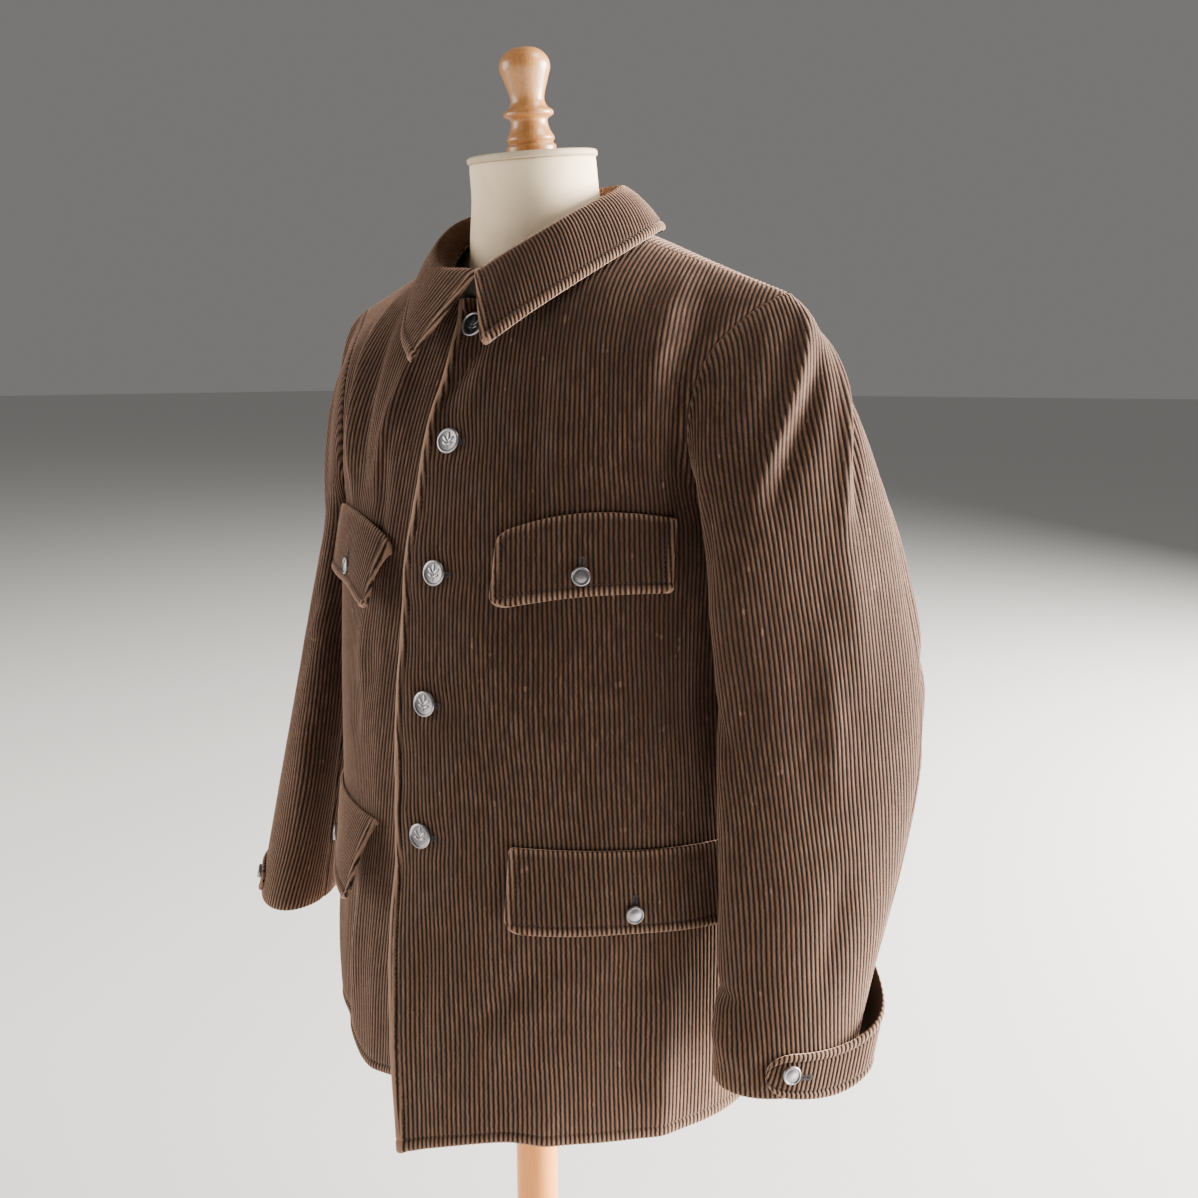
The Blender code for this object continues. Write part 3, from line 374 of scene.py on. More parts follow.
# %% Edges of a piece
EDGE_ROWS = (0.0, 0.0006, 0.0016, 0.0032)
SEAM_DIP, FLAT_SEAM_SHARE, SEAM_REACH = 0.0012, 0.15, 0.0045
SEAM_WEAR, SEAM_WEAR_AT, SEAM_WEAR_WIDE = 0.25, 0.004, 0.003
EDGE_ROUND, EDGE_REACH = 0.0011, 0.0030
EDGE_WEAR, EDGE_WEAR_WIDE = 0.8, 0.0035
ROLL_HEIGHT, ROLL_REACH = 0.0018, 0.0060
ROLL_WEAR, ROLL_WEAR_REACH = 1.5, 1.3
STITCH_DIP, STITCH_WIDTH, STITCH_PUFF, STITCH_WEAR = 0.0010, 0.0011, 0.0009, 0.45
Edge = namedtuple("Edge", "kind stitch", defaults=(0.0,))
SEAM, FLAT_SEAM, FREE, JOINED = Edge("seam"), Edge("flat seam"), Edge("free"), Edge("joined")


def rows_along(length, spacing, stitch_low=0.0, stitch_high=0.0):
    """Distances of the rows of a piece: close together at its ends and its lines of stitches."""
    low, high = list(EDGE_ROWS), list(EDGE_ROWS)
    for stitch, rows in ((stitch_low, low), (stitch_high, high)):
        if stitch:
            rows += [stitch + step * STITCH_WIDTH for step in (-2.0, -1.0, 0.0, 1.0, 2.0)]
    count = max(2, math.ceil((length - low[-1] - high[-1]) / spacing))
    middle = np.linspace(low[-1], length - high[-1], count + 1)[1:-1]
    return np.concatenate((low, middle, length - np.array(high[::-1])))


def edge_shape(edge, distance):
    """How far the face moves out at a distance from an edge, and how worn it is there."""
    if edge.kind == "joined":
        return np.zeros_like(distance), np.zeros_like(distance)
    if edge.kind in ("seam", "flat seam"):
        near = np.clip(1.0 - distance / SEAM_REACH, 0.0, 1.0)
        dip = SEAM_DIP if edge.kind == "seam" else FLAT_SEAM_SHARE * SEAM_DIP
        return -dip * near**2, SEAM_WEAR * bell(distance - SEAM_WEAR_AT, SEAM_WEAR_WIDE)
    near = np.clip(1.0 - distance / EDGE_REACH, 0.0, 1.0)
    lift = -EDGE_ROUND * near**2
    wear = EDGE_WEAR * bell(distance, EDGE_WEAR_WIDE)
    if edge.kind == "rolled":
        lift += ROLL_HEIGHT * np.clip(1.0 - (distance / ROLL_REACH - 1.0) ** 2, 0.0, 1.0)
        wear = ROLL_WEAR * np.exp(-((distance / (ROLL_WEAR_REACH * ROLL_REACH)) ** 4))
    if edge.stitch:
        lift -= STITCH_DIP * bell(distance - edge.stitch, STITCH_WIDTH)
        inside = np.clip(distance / edge.stitch, 0.0, 1.0)
        lift += STITCH_PUFF * np.sin(math.pi * inside)
        wear = wear + STITCH_WEAR * np.sin(math.pi * inside) ** 2
    return lift, wear


print("rows of a piece 100 mm long:", len(rows_along(0.100, 0.010)))

# %% Wales on a grid of points
WALE = 0.00423
RIB_STEPS = 6
RIB_HEIGHT, RIDGE_POWER = 0.00085, 2.6
ROLL_PLAIN, ROLL_RIBBED = 0.3, 1.6
Cloth = namedtuple("Cloth", "points across along facing wall edges")


def cloth_normals(cloth):
    """Outward directions of a grid."""
    side, rise = np.gradient(cloth.points, axis=1), np.gradient(cloth.points, axis=0)
    return cloth.facing * unit(np.cross(side, rise))


def wale_crest(across):
    """Height of the pile across the wales: rounded ridges with narrow furrows between."""
    off_ridge = np.abs(np.mod(across / WALE, 1.0) - 0.5) * 2.0
    return 1.0 - off_ridge**RIDGE_POWER


def shape_row(cloth, row, spots):
    """How far the face of a row moves out for its wales and edges, and how worn it is."""
    run = cloth.across[row]
    from_start = np.full(len(spots), cloth.along[row] - cloth.along[0])
    distances = {
        "low": spots - run[0],
        "high": run[-1] - spots,
        "bottom": from_start,
        "top": cloth.along[-1] - cloth.along[0] - from_start,
    }
    lift, wear = RIB_HEIGHT * (wale_crest(spots) - 0.5), np.zeros(len(spots))
    for side, distance in distances.items():
        if cloth.edges[side].kind == "rolled":
            lift = lift * ease(ROLL_PLAIN * ROLL_REACH, ROLL_RIBBED * ROLL_REACH, distance)
        moved, worn = edge_shape(cloth.edges[side], distance)
        lift = lift + moved
        wear = wear + worn
    return lift, wear


print("wale", WALE * 1000, "mm, a line of points every", round(WALE / RIB_STEPS * 1000, 2), "mm")

# %% Faces of a piece
NEAR_CENTRE = 1e-5
OUTER, INNER, END_RIM, SIDE_RIM = range(4)


def outer_faces(index):
    """Faces of the ribbed side; columns cut off at an edge share its point."""
    first, second = index[:-1, :-1].ravel(), index[:-1, 1:].ravel()
    third, fourth = index[1:, 1:].ravel(), index[1:, :-1].ravel()
    low, high = first != second, third != fourth
    quads = np.stack((first, second, third, fourth), 1)[low & high].tolist()
    quads += np.stack((first, third, fourth), 1)[~low & high].tolist()
    quads += np.stack((first, second, third), 1)[low & ~high].tolist()
    return quads


def inner_faces(outside, inside, columns, cloth, points):
    """Faces of the plain side and of the rim round it, each with its kind."""
    rows = len(outside)
    made = []
    for row in range(rows - 1):
        for left, right in zip(columns[:-1], columns[1:]):
            below = inside[row, left : right + 1] if row == 0 else inside[row, [left, right]]
            above = inside[row + 1, [left, right]]
            if row + 2 == rows:
                above = inside[row + 1, left : right + 1]
            ring = [*below, *above[::-1]]
            ring = [ring[place] for place in range(len(ring)) if ring[place] != ring[place - 1]]
            if len(ring) > 2:
                made.append((ring[::-1], INNER))
    for row, turned in ((0, False), (rows - 1, True)):
        for here, there in zip(range(outside.shape[1] - 1), range(1, outside.shape[1])):
            if outside[row, here] != outside[row, there]:
                rim = [outside[row, there], outside[row, here], inside[row, here], inside[row, there]]
                made.append((rim[::-1] if turned else rim, END_RIM))
    for column, turned, side in ((0, False, "low"), (-1, True, "high")):
        for row in range(rows - 1):
            ends = outside[row, column], outside[row + 1, column]
            central = np.all(np.abs(points[list(ends), 0]) < NEAR_CENTRE)
            if not (cloth.edges[side].kind == "joined" and central):
                rim = [ends[0], ends[1], inside[row + 1, column], inside[row, column]]
                made.append((rim[::-1] if turned else rim, SIDE_RIM))
    return made


print("kinds of faces:", SIDE_RIM + 1)

# %% Ribbed cloth
INNER_STEPS = 12
EDGE_CLEAR, ON_CENTRE = 0.4, 1e-6


def lay_wales(cloth):
    """Points, faces and flat places of one grid of cloth: ribbed face, plain inside and rim."""
    step = WALE / RIB_STEPS
    first = math.ceil(cloth.across.min() / step) - 1
    last = math.floor(cloth.across.max() / step) + 1
    lines = np.arange(first, last + 1) * step
    coarse = np.arange(first, last + 1) % INNER_STEPS == 0
    coarse[[0, -1]] = True
    normals = cloth_normals(cloth)
    rows = len(cloth.points)
    outer, inner, flat_outer, flat_inner, wear_outer = [], [], [], [], []
    outside = np.zeros((rows, len(lines)), int)
    inside = np.zeros((rows, len(lines)), int)
    outer_count = inner_count = 0
    for row in range(rows):
        run = cloth.across[row]
        low_side = lines <= run[0] + EDGE_CLEAR * step
        own = ~low_side & (lines < run[-1] - EDGE_CLEAR * step)
        spots = np.concatenate(([run[0]], lines[own], [run[-1]]))
        points = between(spots, run, cloth.points[row])
        facing = unit(between(spots, run, normals[row]))
        lift, wear = shape_row(cloth, row, spots)
        for side, place in (("low", 0), ("high", -1)):
            if cloth.edges[side].kind == "joined" and abs(points[place, 0]) < ON_CENTRE:
                facing[place, 0] = 0.0
        outer.append(points + facing * lift[:, None])
        flat_outer.append(np.stack((spots, np.full(len(spots), cloth.along[row])), 1))
        wear_outer.append(wear)
        place = np.where(own, np.cumsum(own), np.where(low_side, 0, len(spots) - 1))
        outside[row] = outer_count + place
        outer_count += len(spots)
        keep = np.ones(len(spots), bool)
        if 0 < row < rows - 1:
            keep[1:-1] = coarse[own]
        inner.append((points - facing * cloth.wall)[keep])
        flat_inner.append(flat_outer[-1][keep])
        inside[row] = inner_count + np.cumsum(keep)[place] - 1
        inner_count += int(keep.sum())
    inside += outer_count
    points = np.concatenate(outer + inner)
    flat = np.concatenate(flat_outer + flat_inner)
    wear = np.concatenate(wear_outer + [np.zeros(inner_count)])
    faces = outer_faces(outside)
    kinds = [OUTER] * len(faces)
    for made, kind in inner_faces(outside, inside, np.flatnonzero(coarse), cloth, points):
        faces.append(made)
        kinds.append(kind)
    if cloth.facing < 0:
        faces = [face[::-1] for face in faces]
    return points, faces, kinds, flat, wear


def measure_across(points, reference):
    """Distances across a grid, at right angles to the wales, from one of its columns."""
    step = np.diff(points, axis=1)
    grain = unit(np.gradient(points, axis=0))
    grain = unit(grain[:, 1:] + grain[:, :-1])
    straight = step - grain * np.sum(step * grain, axis=2, keepdims=True)
    run = np.cumsum(np.linalg.norm(straight, axis=2), axis=1)
    run = np.concatenate((np.zeros((len(points), 1)), run), axis=1)
    return run - run[:, reference : reference + 1]


print("a line of points on the plain side every", INNER_STEPS // RIB_STEPS, "wales")

# %% [markdown]
# ## From grid to mesh
# A mesh can be made from lists of points and faces without an operator. Two layouts go with it: the
# cut in metres, which the finish needs to find its wales, and one that fits a square for baking.

# %% Editing helpers
WELD_REACH = 0.00003


def choose(piece):
    """The piece alone is selected and active."""
    bpy.ops.object.select_all(action="DESELECT")
    bpy.context.view_layer.objects.active = piece
    piece.select_set(True)


def edit(piece):
    """The piece is opened for editing with all its points selected."""
    choose(piece)
    bpy.ops.object.mode_set(mode="EDIT")
    bpy.ops.mesh.select_all(action="SELECT")


def leave(piece):
    """Editing ends and nothing stays selected."""
    bpy.ops.object.mode_set(mode="OBJECT")
    piece.select_set(False)


def weld(piece):
    """Points of two grids that meet are joined."""
    edit(piece)
    bpy.ops.mesh.remove_doubles(threshold=WELD_REACH)
    leave(piece)


print("points closer than", WELD_REACH, "m can be welded")

# %% Mesh of a piece
# Start and height of the band that each kind of face has in the square layout.
LAYOUT_BANDS = np.array(((0.0, 0.70), (0.72, 0.20), (0.94, 0.01), (0.97, 0.01)))


def new_mesh(name, points, faces, materials):
    """Smooth mesh from points and faces, with its finishes."""
    mesh = bpy.data.meshes.new(name)
    mesh.from_pydata(points.tolist(), [], faces)
    for material in materials:
        mesh.materials.append(material)
    mesh.shade_smooth()
    return mesh


def add_wear(mesh, wear):
    """A number for each point, named wear: wear on cloth, and on a button how sunk its face is."""
    mesh.attributes.new("wear", "FLOAT", "POINT").data.foreach_set("value", wear)


def add_layout(mesh, name, places):
    """Flat places of the faces' corners."""
    mesh.uv_layers.new(name=name).uv.foreach_set("vector", places.astype(np.float32).ravel())


def make_cloth(name, cloths, materials):
    """Object of one piece of cloth, made of one grid or of two that meet at the centre line."""
    points, faces, kinds, flat, wear = [], [], [], [], []
    count = 0
    for cloth in cloths:
        laid = lay_wales(cloth)
        points.append(laid[0])
        faces += [[place + count for place in face] for face in laid[1]]
        kinds += laid[2]
        turned = 1.0 if cloth is cloths[0] else -1.0
        flat.append(laid[3] * np.array([turned, 1.0]))
        wear.append(laid[4])
        count += len(laid[0])
    mesh = new_mesh(name, np.concatenate(points), faces, materials)
    kinds = np.array(kinds)
    mesh.polygons.foreach_set("material_index", (kinds == INNER).astype(np.int32))
    add_wear(mesh, np.concatenate(wear))
    corners = np.zeros(len(mesh.loops), np.int32)
    mesh.loops.foreach_get("vertex_index", corners)
    per_face = np.zeros(len(mesh.polygons), np.int32)
    mesh.polygons.foreach_get("loop_total", per_face)
    lay_flat(mesh, np.concatenate(flat)[corners], np.repeat(kinds, per_face))
    piece = link_new(name, mesh)
    if len(cloths) > 1:
        weld(piece)
    mesh.validate()
    return piece


def lay_flat(mesh, flat, kinds):
    """Two flat layouts of a piece: the cut in metres, and one that fits a square with no overlaps."""
    add_layout(mesh, "flat", flat)
    low, high = flat.min(axis=0), flat.max(axis=0)
    share = (flat - low) / (high - low)
    bands = LAYOUT_BANDS[kinds]
    square = np.where((kinds == SIDE_RIM)[:, None], share[:, ::-1], share)
    square = np.stack((square[:, 0], bands[:, 0] + square[:, 1] * bands[:, 1]), 1)
    add_layout(mesh, "OFBake", square)


print("bands of the square layout:", len(LAYOUT_BANDS))

# %% [markdown]
# ## Creases
# Worn cloth remembers how it was worn. Each crease is a soft ridge or trough along a short line on
# the flat cut, with its own length, width and height, so that no two are alike. A simulation would
# give other folds than the ones that are there, and these can be put where they belong.

# %% Crease helper
# A table of creases has a row for each: where it starts and ends on the cut, its width and its height.
Crease = namedtuple("Crease", "across along end_across end_along width height")
CREASE_ENDS, CREASE_SIDES = 0.8, 1.7
SEAM_CLEAR, END_CLEAR = 0.014, 0.012
GRAIN_STEPS = 300
# Waves of the wales: length along and across the piece, start, and how far they move.
WAVES = ((0.230, 0.190, 0.0, 0.0007), (0.097, -0.140, 1.3, 0.00022))


def crease_heights(creases, across, along):
    """How far a grid moves out under a table of creases."""
    heights = np.zeros(across.shape)
    rise = np.broadcast_to(np.asarray(along, float)[:, None], across.shape)
    for fold in map(Crease._make, creases):
        start = np.array([fold.across, fold.along])
        way = np.array([fold.end_across, fold.end_along]) - start
        length = np.linalg.norm(way)
        way = way / length
        run = ((across - start[0]) * way[0] + (rise - start[1]) * way[1]) / length
        aside = (across - start[0]) * way[1] - (rise - start[1]) * way[0]
        taper = np.sin(math.pi * np.clip(run, 0.0, 1.0)) ** CREASE_ENDS
        heights += fold.height * taper * np.exp(-((np.abs(aside) / fold.width) ** CREASE_SIDES))
    return heights


def away_from_seams(across, along, low=True):
    """One inside a piece and nought at its seams, so that folds don't part what is sewn together."""
    inside = ease(0.0, SEAM_CLEAR, across[:, -1:] - across)
    if low:
        inside = inside * ease(0.0, SEAM_CLEAR, across - across[:, :1])
    return inside * ease(0.0, END_CLEAR, np.abs(along - along[-1]))[:, None]


def lean_grain(across, along, grain):
    """Distances across a piece whose wales lean by a slope that changes along it."""
    heights, slopes = np.array(grain).T
    steps = np.linspace(along[0], along[-1], GRAIN_STEPS)
    slope = np.interp(steps, heights, slopes)
    shift = np.cumsum(slope) * (steps[1] - steps[0])
    return across + np.interp(along, steps, shift)[:, None]


def wander(across, along):
    """Distances across a piece for wales that aren't quite straight."""
    rise = np.asarray(along, float)[:, None]
    moved = across
    for length, width, start, height in WAVES:
        moved = moved + height * np.sin(2.0 * math.pi * (rise / length + across / width) + start)
    return moved


print("waves in the wales:", len(WAVES))

# %% [markdown]
# ## Finishes
# A finish is a small tree of nodes. What several finishes share, such as the striped pile of the
# corduroy, is a node group with named inputs, so the same pattern can be used with other colours.

# %% Node helper


def fill(tree, node, inputs):
    """A node's inputs, each given as a value or as another node's output."""
    for name, value in inputs.items():
        if isinstance(value, bpy.types.NodeSocket):
            tree.links.new(value, node.inputs[name])
        else:
            node.inputs[name].default_value = value


def add_node(tree, kind, inputs=None, **settings):
    """New node with its settings and inputs."""
    made = tree.nodes.new(kind)
    for name, value in settings.items():
        setattr(made, name, value)
    fill(tree, made, inputs or {})
    return made


def maths(tree, operation, *values):
    """Output of a Math node."""
    inputs = dict(enumerate(values))
    return add_node(tree, "ShaderNodeMath", inputs, operation=operation).outputs[0]


def mix_colours(tree, share, first, second, blend="MIX"):
    """Output of a colour Mix node."""
    inputs = {0: share, 6: first, 7: second}
    made = add_node(tree, "ShaderNodeMix", inputs, data_type="RGBA", blend_type=blend)
    return made.outputs[2]


def noise(tree, vector, scale, detail=3.0, roughness=0.55):
    """Output of a Noise Texture between nought and one."""
    inputs = {"Vector": vector, "Scale": scale, "Detail": detail, "Roughness": roughness}
    return add_node(tree, "ShaderNodeTexNoise", inputs).outputs["Fac"]


def object_place(tree):
    """Places on an object, in metres."""
    return add_node(tree, "ShaderNodeTexCoord").outputs["Object"]


def stretch(tree, vector, factors):
    """Places stretched along each axis."""
    return add_node(tree, "ShaderNodeVectorMath", {0: vector, 1: factors}, operation="MULTIPLY").outputs[0]


def axes(tree, vector):
    """Outputs of a Separate XYZ node."""
    return add_node(tree, "ShaderNodeSeparateXYZ", {0: vector}).outputs


def bumps(tree, height, strength, distance):
    """Output of a Bump node."""
    inputs = {"Strength": strength, "Distance": distance, "Height": height}
    return add_node(tree, "ShaderNodeBump", inputs).outputs[0]


def spread(tree, value, low, high):
    """Value stretched so that low becomes nought and high becomes one."""
    inputs = {"Value": value, "From Min": low, "From Max": high}
    return add_node(tree, "ShaderNodeMapRange", inputs, clamp=True).outputs[0]


def new_group(name, inputs, outputs):
    """Empty shader node group with named sockets, and its two end nodes."""
    tree = bpy.data.node_groups.new(name, "ShaderNodeTree")
    for socket, kind, value in inputs:
        made = tree.interface.new_socket(socket, in_out="INPUT", socket_type="NodeSocket" + kind)
        made.default_value = value
    for socket, kind in outputs:
        tree.interface.new_socket(socket, in_out="OUTPUT", socket_type="NodeSocket" + kind)
    return tree, tree.nodes.new("NodeGroupInput"), tree.nodes.new("NodeGroupOutput")


def new_material(name):
    """Material with its tree and its Principled shader."""
    material = bpy.data.materials.new(name)
    material.use_nodes = True
    tree = material.node_tree
    return material, tree, tree.nodes["Principled BSDF"]


print("helpers for finishes are ready")

# %% Pile of the corduroy
STREAKS_PER_METRE = 55.0
JITTER = 0.34
FURROW_AT, CREST_AT = 0.46, 0.10
BARE_FROM, BARE_FULL = 1.15, 1.45
# Crests grow paler towards the hem, between the first two heights, by the last number.
SKIRT_TOP, SKIRT_LOW, SKIRT_PALING = 0.82, 0.50, 0.42
FLECK_WEAR, MOST_WEAR = 0.5, 0.95
BROAD_SHADE, LEAST_SHADE, STREAK_SHADE, STREAK_DARK = 0.30, 0.85, 0.25, 0.12
PLAIN_ROUGHNESS, WORN_SMOOTHER = 0.96, -0.18


def build_pile_group():
    """Striped pile: furrows darkened as painted shade, brown ridges and paler crests where the nap is
    rubbed off.
    """
    colour = (0.1, 0.1, 0.1, 1.0)
    inputs = [(name, "Color", colour) for name in ("Furrow Shade", "Ridge", "Worn")] + [("Wear", "Float", 0.4)]
    outputs = (("Colour", "Color"), ("Roughness", "Float"), ("Nap", "Float"))
    tree, given, made = new_group("corduroy_pile", inputs, outputs)
    flat = add_node(tree, "ShaderNodeUVMap", uv_map="flat").outputs[0]
    aside, ahead, _ = axes(tree, flat)
    wales = maths(tree, "DIVIDE", aside, WALE)
    jitter = noise(tree, stretch(tree, flat, (0.6, 1.0, 1.0)), 210.0, 2.0)
    jitter = maths(tree, "SUBTRACT", jitter, 0.5)
    phase = maths(tree, "FRACT", maths(tree, "MULTIPLY_ADD", jitter, JITTER, wales))
    off_ridge = maths(tree, "ABSOLUTE", maths(tree, "SUBTRACT", phase, 0.5))
    rubbed = add_node(tree, "ShaderNodeAttribute", attribute_name="wear").outputs["Fac"]
    bare = spread(tree, rubbed, BARE_FROM, BARE_FULL)
    crest = maths(tree, "MAXIMUM", spread(tree, off_ridge, FURROW_AT, CREST_AT), bare)
    lengths = maths(tree, "MULTIPLY", ahead, STREAKS_PER_METRE)
    streaks_at = add_node(tree, "ShaderNodeCombineXYZ", {0: wales, 1: lengths}).outputs[0]
    streaks = noise(tree, streaks_at, 0.9, 4.0, 0.6)
    place = object_place(tree)
    blotches = noise(tree, place, 9.0, 5.0, 0.62)
    patchy = maths(tree, "MULTIPLY", spread(tree, streaks, 0.35, 0.75), spread(tree, blotches, 0.3, 0.7))
    height = axes(tree, place)[2]
    # Crests paler towards the hem.
    rubbed = maths(tree, "MULTIPLY_ADD", spread(tree, height, SKIRT_TOP, SKIRT_LOW), SKIRT_PALING, rubbed)
    flecks = spread(tree, noise(tree, place, 75.0, 1.0), 0.73, 0.79)
    rubbed = maths(tree, "MULTIPLY_ADD", flecks, FLECK_WEAR, rubbed)
    amount = maths(tree, "MULTIPLY_ADD", patchy, given.outputs["Wear"], rubbed)
    amount = maths(tree, "MULTIPLY", amount, maths(tree, "POWER", crest, 2.0))
    amount = maths(tree, "MINIMUM", amount, MOST_WEAR)
    # The furrows get a near-black colour: painted shade between the wales.
    pile = mix_colours(tree, crest, given.outputs["Furrow Shade"], given.outputs["Ridge"])
    pile = mix_colours(tree, amount, pile, given.outputs["Worn"])
    broad = spread(tree, noise(tree, place, 2.6, 2.0), 0.3, 0.7)
    shade = maths(tree, "MULTIPLY_ADD", broad, BROAD_SHADE, LEAST_SHADE)
    shade = maths(tree, "SUBTRACT", shade, STREAK_DARK)
    shade = maths(tree, "MULTIPLY_ADD", spread(tree, streaks, 0.2, 0.8), STREAK_SHADE, shade)
    tone = add_node(tree, "ShaderNodeCombineColor", {0: shade, 1: shade, 2: shade}).outputs[0]
    results = {
        "Colour": mix_colours(tree, 1.0, pile, tone, "MULTIPLY"),
        "Roughness": maths(tree, "MULTIPLY_ADD", amount, WORN_SMOOTHER, PLAIN_ROUGHNESS),
        "Nap": noise(tree, stretch(tree, flat, (1.0, 0.45, 1.0)), 1500.0, 2.0, 0.6),
    }
    fill(tree, made, results)
    return tree


PILE = build_pile_group()
print("pile group:", len(PILE.nodes), "nodes")

# %% Right and wrong side of the corduroy
# The furrow colour is painted shade between the wales; ridge and worn are the pile's own colours.
PILE_COLOURS = {
    "Furrow Shade": (0.010, 0.0048, 0.0040, 1.0),
    "Ridge": (0.066, 0.034, 0.022, 1.0),
    "Worn": (0.280, 0.165, 0.110, 1.0),
    "Wear": 0.60,
}
TWILL_PER_METRE = 5200.0
TWILL_DARK, TWILL_LIGHT = (0.016, 0.009, 0.006, 1.0), (0.046, 0.027, 0.018, 1.0)


def build_corduroy():
    """Right side of the corduroy: the striped pile with a soft sheen."""
    material, tree, shader = new_material("corduroy")
    pile = add_node(tree, "ShaderNodeGroup", PILE_COLOURS, node_tree=PILE)
    inputs = {
        "Base Color": pile.outputs["Colour"],
        "Roughness": pile.outputs["Roughness"],
        "Normal": bumps(tree, pile.outputs["Nap"], 0.35, 0.0005),
        "Sheen Weight": 0.90,
        "Sheen Roughness": 0.36,
        "Sheen Tint": (0.92, 0.59, 0.45, 1.0),
        "Specular IOR Level": 0.2,
    }
    fill(tree, shader, inputs)
    return material


def build_inside():
    """Wrong side of the corduroy: a close brown twill."""
    material, tree, shader = new_material("corduroy_inside")
    flat = add_node(tree, "ShaderNodeUVMap", uv_map="flat").outputs[0]
    aside, ahead, _ = axes(tree, flat)
    slant = maths(tree, "ADD", aside, ahead)
    slant = maths(tree, "MULTIPLY", slant, TWILL_PER_METRE)
    ribs = maths(tree, "MULTIPLY_ADD", maths(tree, "SINE", slant), 0.5, 0.5)
    blotches = noise(tree, object_place(tree), 14.0, 4.0)
    share = maths(tree, "MULTIPLY_ADD", blotches, 0.5, maths(tree, "MULTIPLY", ribs, 0.5))
    inputs = {
        "Base Color": mix_colours(tree, share, TWILL_DARK, TWILL_LIGHT),
        "Normal": bumps(tree, ribs, 0.3, 0.0003),
        "Roughness": 0.9,
        "Sheen Weight": 0.10,
        "Sheen Tint": (0.60, 0.42, 0.32, 1.0),
    }
    fill(tree, shader, inputs)
    return material


CORDUROY = build_corduroy()
INSIDE = build_inside()
CLOTH_FINISH = (CORDUROY, INSIDE)
print("corduroy finishes:", [material.name for material in CLOTH_FINISH])

# %% [markdown]
# ## Fronts and back
# The left front laps over the right one, which dips under it. Both hang a little out of true: the
# left free edge sags and the right one is drawn up. The left edge is rolled and rubbed bare, wanders
# by a table of heights, and is drawn in a little at each buttonhole. The back is laid in two halves
# that meet at the centre, because the neck hole parts them at the top.

# %% Creases and grain of the fronts
LEFT_FRONT_CREASES = (
    (0.022, 0.705, -0.016, 0.640, 0.006, -0.0042),
    (0.034, 0.700, 0.004, 0.610, 0.010, 0.0031),
    (-0.022, 0.655, -0.018, 0.575, 0.014, 0.0042),
    (-0.022, 0.545, -0.020, 0.470, 0.014, 0.0039),
    (-0.022, 0.425, -0.020, 0.345, 0.014, 0.0028),
    (-0.022, 0.305, -0.020, 0.245, 0.013, 0.0034),
    (0.078, 0.690, 0.088, 0.545, 0.013, -0.0031),
    (0.102, 0.720, 0.108, 0.560, 0.015, 0.0036),
    (0.150, 0.790, 0.140, 0.610, 0.016, -0.0028),
    (0.196, 0.800, 0.214, 0.560, 0.018, -0.0084),
    (0.172, 0.820, 0.178, 0.640, 0.013, 0.0042),
    (0.240, 0.520, 0.262, 0.260, 0.024, -0.0056),
    (0.030, 0.500, 0.110, 0.330, 0.022, 0.0028),
    (0.140, 0.420, 0.150, 0.270, 0.018, -0.0031),
    (0.138, 0.184, 0.052, 0.086, 0.007, -0.0034),
    (0.160, 0.170, 0.066, 0.070, 0.012, 0.0036),
    (0.034, 0.190, 0.020, 0.030, 0.012, 0.0031),
    (0.120, 0.110, 0.128, -0.040, 0.018, 0.0045),
    (0.188, 0.170, 0.206, 0.030, 0.020, -0.0070),
    (0.232, 0.150, 0.236, -0.030, 0.018, 0.0056),
)
RIGHT_FRONT_CREASES = (
    (0.152, 0.790, 0.143, 0.540, 0.011, 0.0065),
    (0.118, 0.760, 0.122, 0.560, 0.012, -0.0059),
    (0.066, 0.690, 0.098, 0.560, 0.009, 0.0055),
    (0.082, 0.620, 0.080, 0.490, 0.010, -0.0039),
    (0.184, 0.760, 0.200, 0.580, 0.014, -0.0065),
    (0.070, 0.420, 0.130, 0.330, 0.014, -0.0036),
    (0.100, 0.470, 0.100, 0.330, 0.014, 0.0039),
    (0.230, 0.480, 0.250, 0.270, 0.020, -0.0052),
    (0.085, 0.230, 0.120, 0.010, 0.014, 0.0065),
    (0.120, 0.200, 0.160, -0.020, 0.014, -0.0065),
    (0.200, 0.190, 0.190, -0.030, 0.020, 0.0059),
)
# Slope of the wales against the front edge at distances from the hem.
FRONT_GRAIN = (
    (0.00, 0.04), (0.10, 0.05), (0.18, 0.09), (0.50, 0.09),
    (0.56, 0.08), (0.66, 0.15), (0.74, 0.17), (0.85, 0.08),
)
print("creases of the fronts:", len(LEFT_FRONT_CREASES), len(RIGHT_FRONT_CREASES))

# %% Fronts
ROW_STEP, SAMPLES, RUN_AT = 0.010, 180, 0.10
CLOTH_WALL, SEAM_GAP, HAIR = 0.0024, 0.0004, 1e-6
HEM_STITCH, FRONT_STITCH = 0.010, 0.011
FRONT_LAP, LEFT_LAP_ABOVE, RIGHT_LAP_ABOVE, NECK_STEP = 0.022, 0.042, 0.074, 0.004
UNDERLAP_FULL, UNDERLAP_ENDS, UNDERLAP_DEPTH = 0.045, 0.072, CLOTH_WALL + 3.0 * SEAM_GAP
LEFT_EDGE_SAG, RIGHT_EDGE_LIFT = 0.036, 0.048
EDGE_WIDTH, EDGE_TOP, EDGE_POWER = 0.120, 0.3, 1.5
FRONT_RUN = run_along(FRONT, RUN_AT)
FRONT_BUTTON_HEIGHTS = (1.163, 1.063, 0.950, 0.836, 0.717)
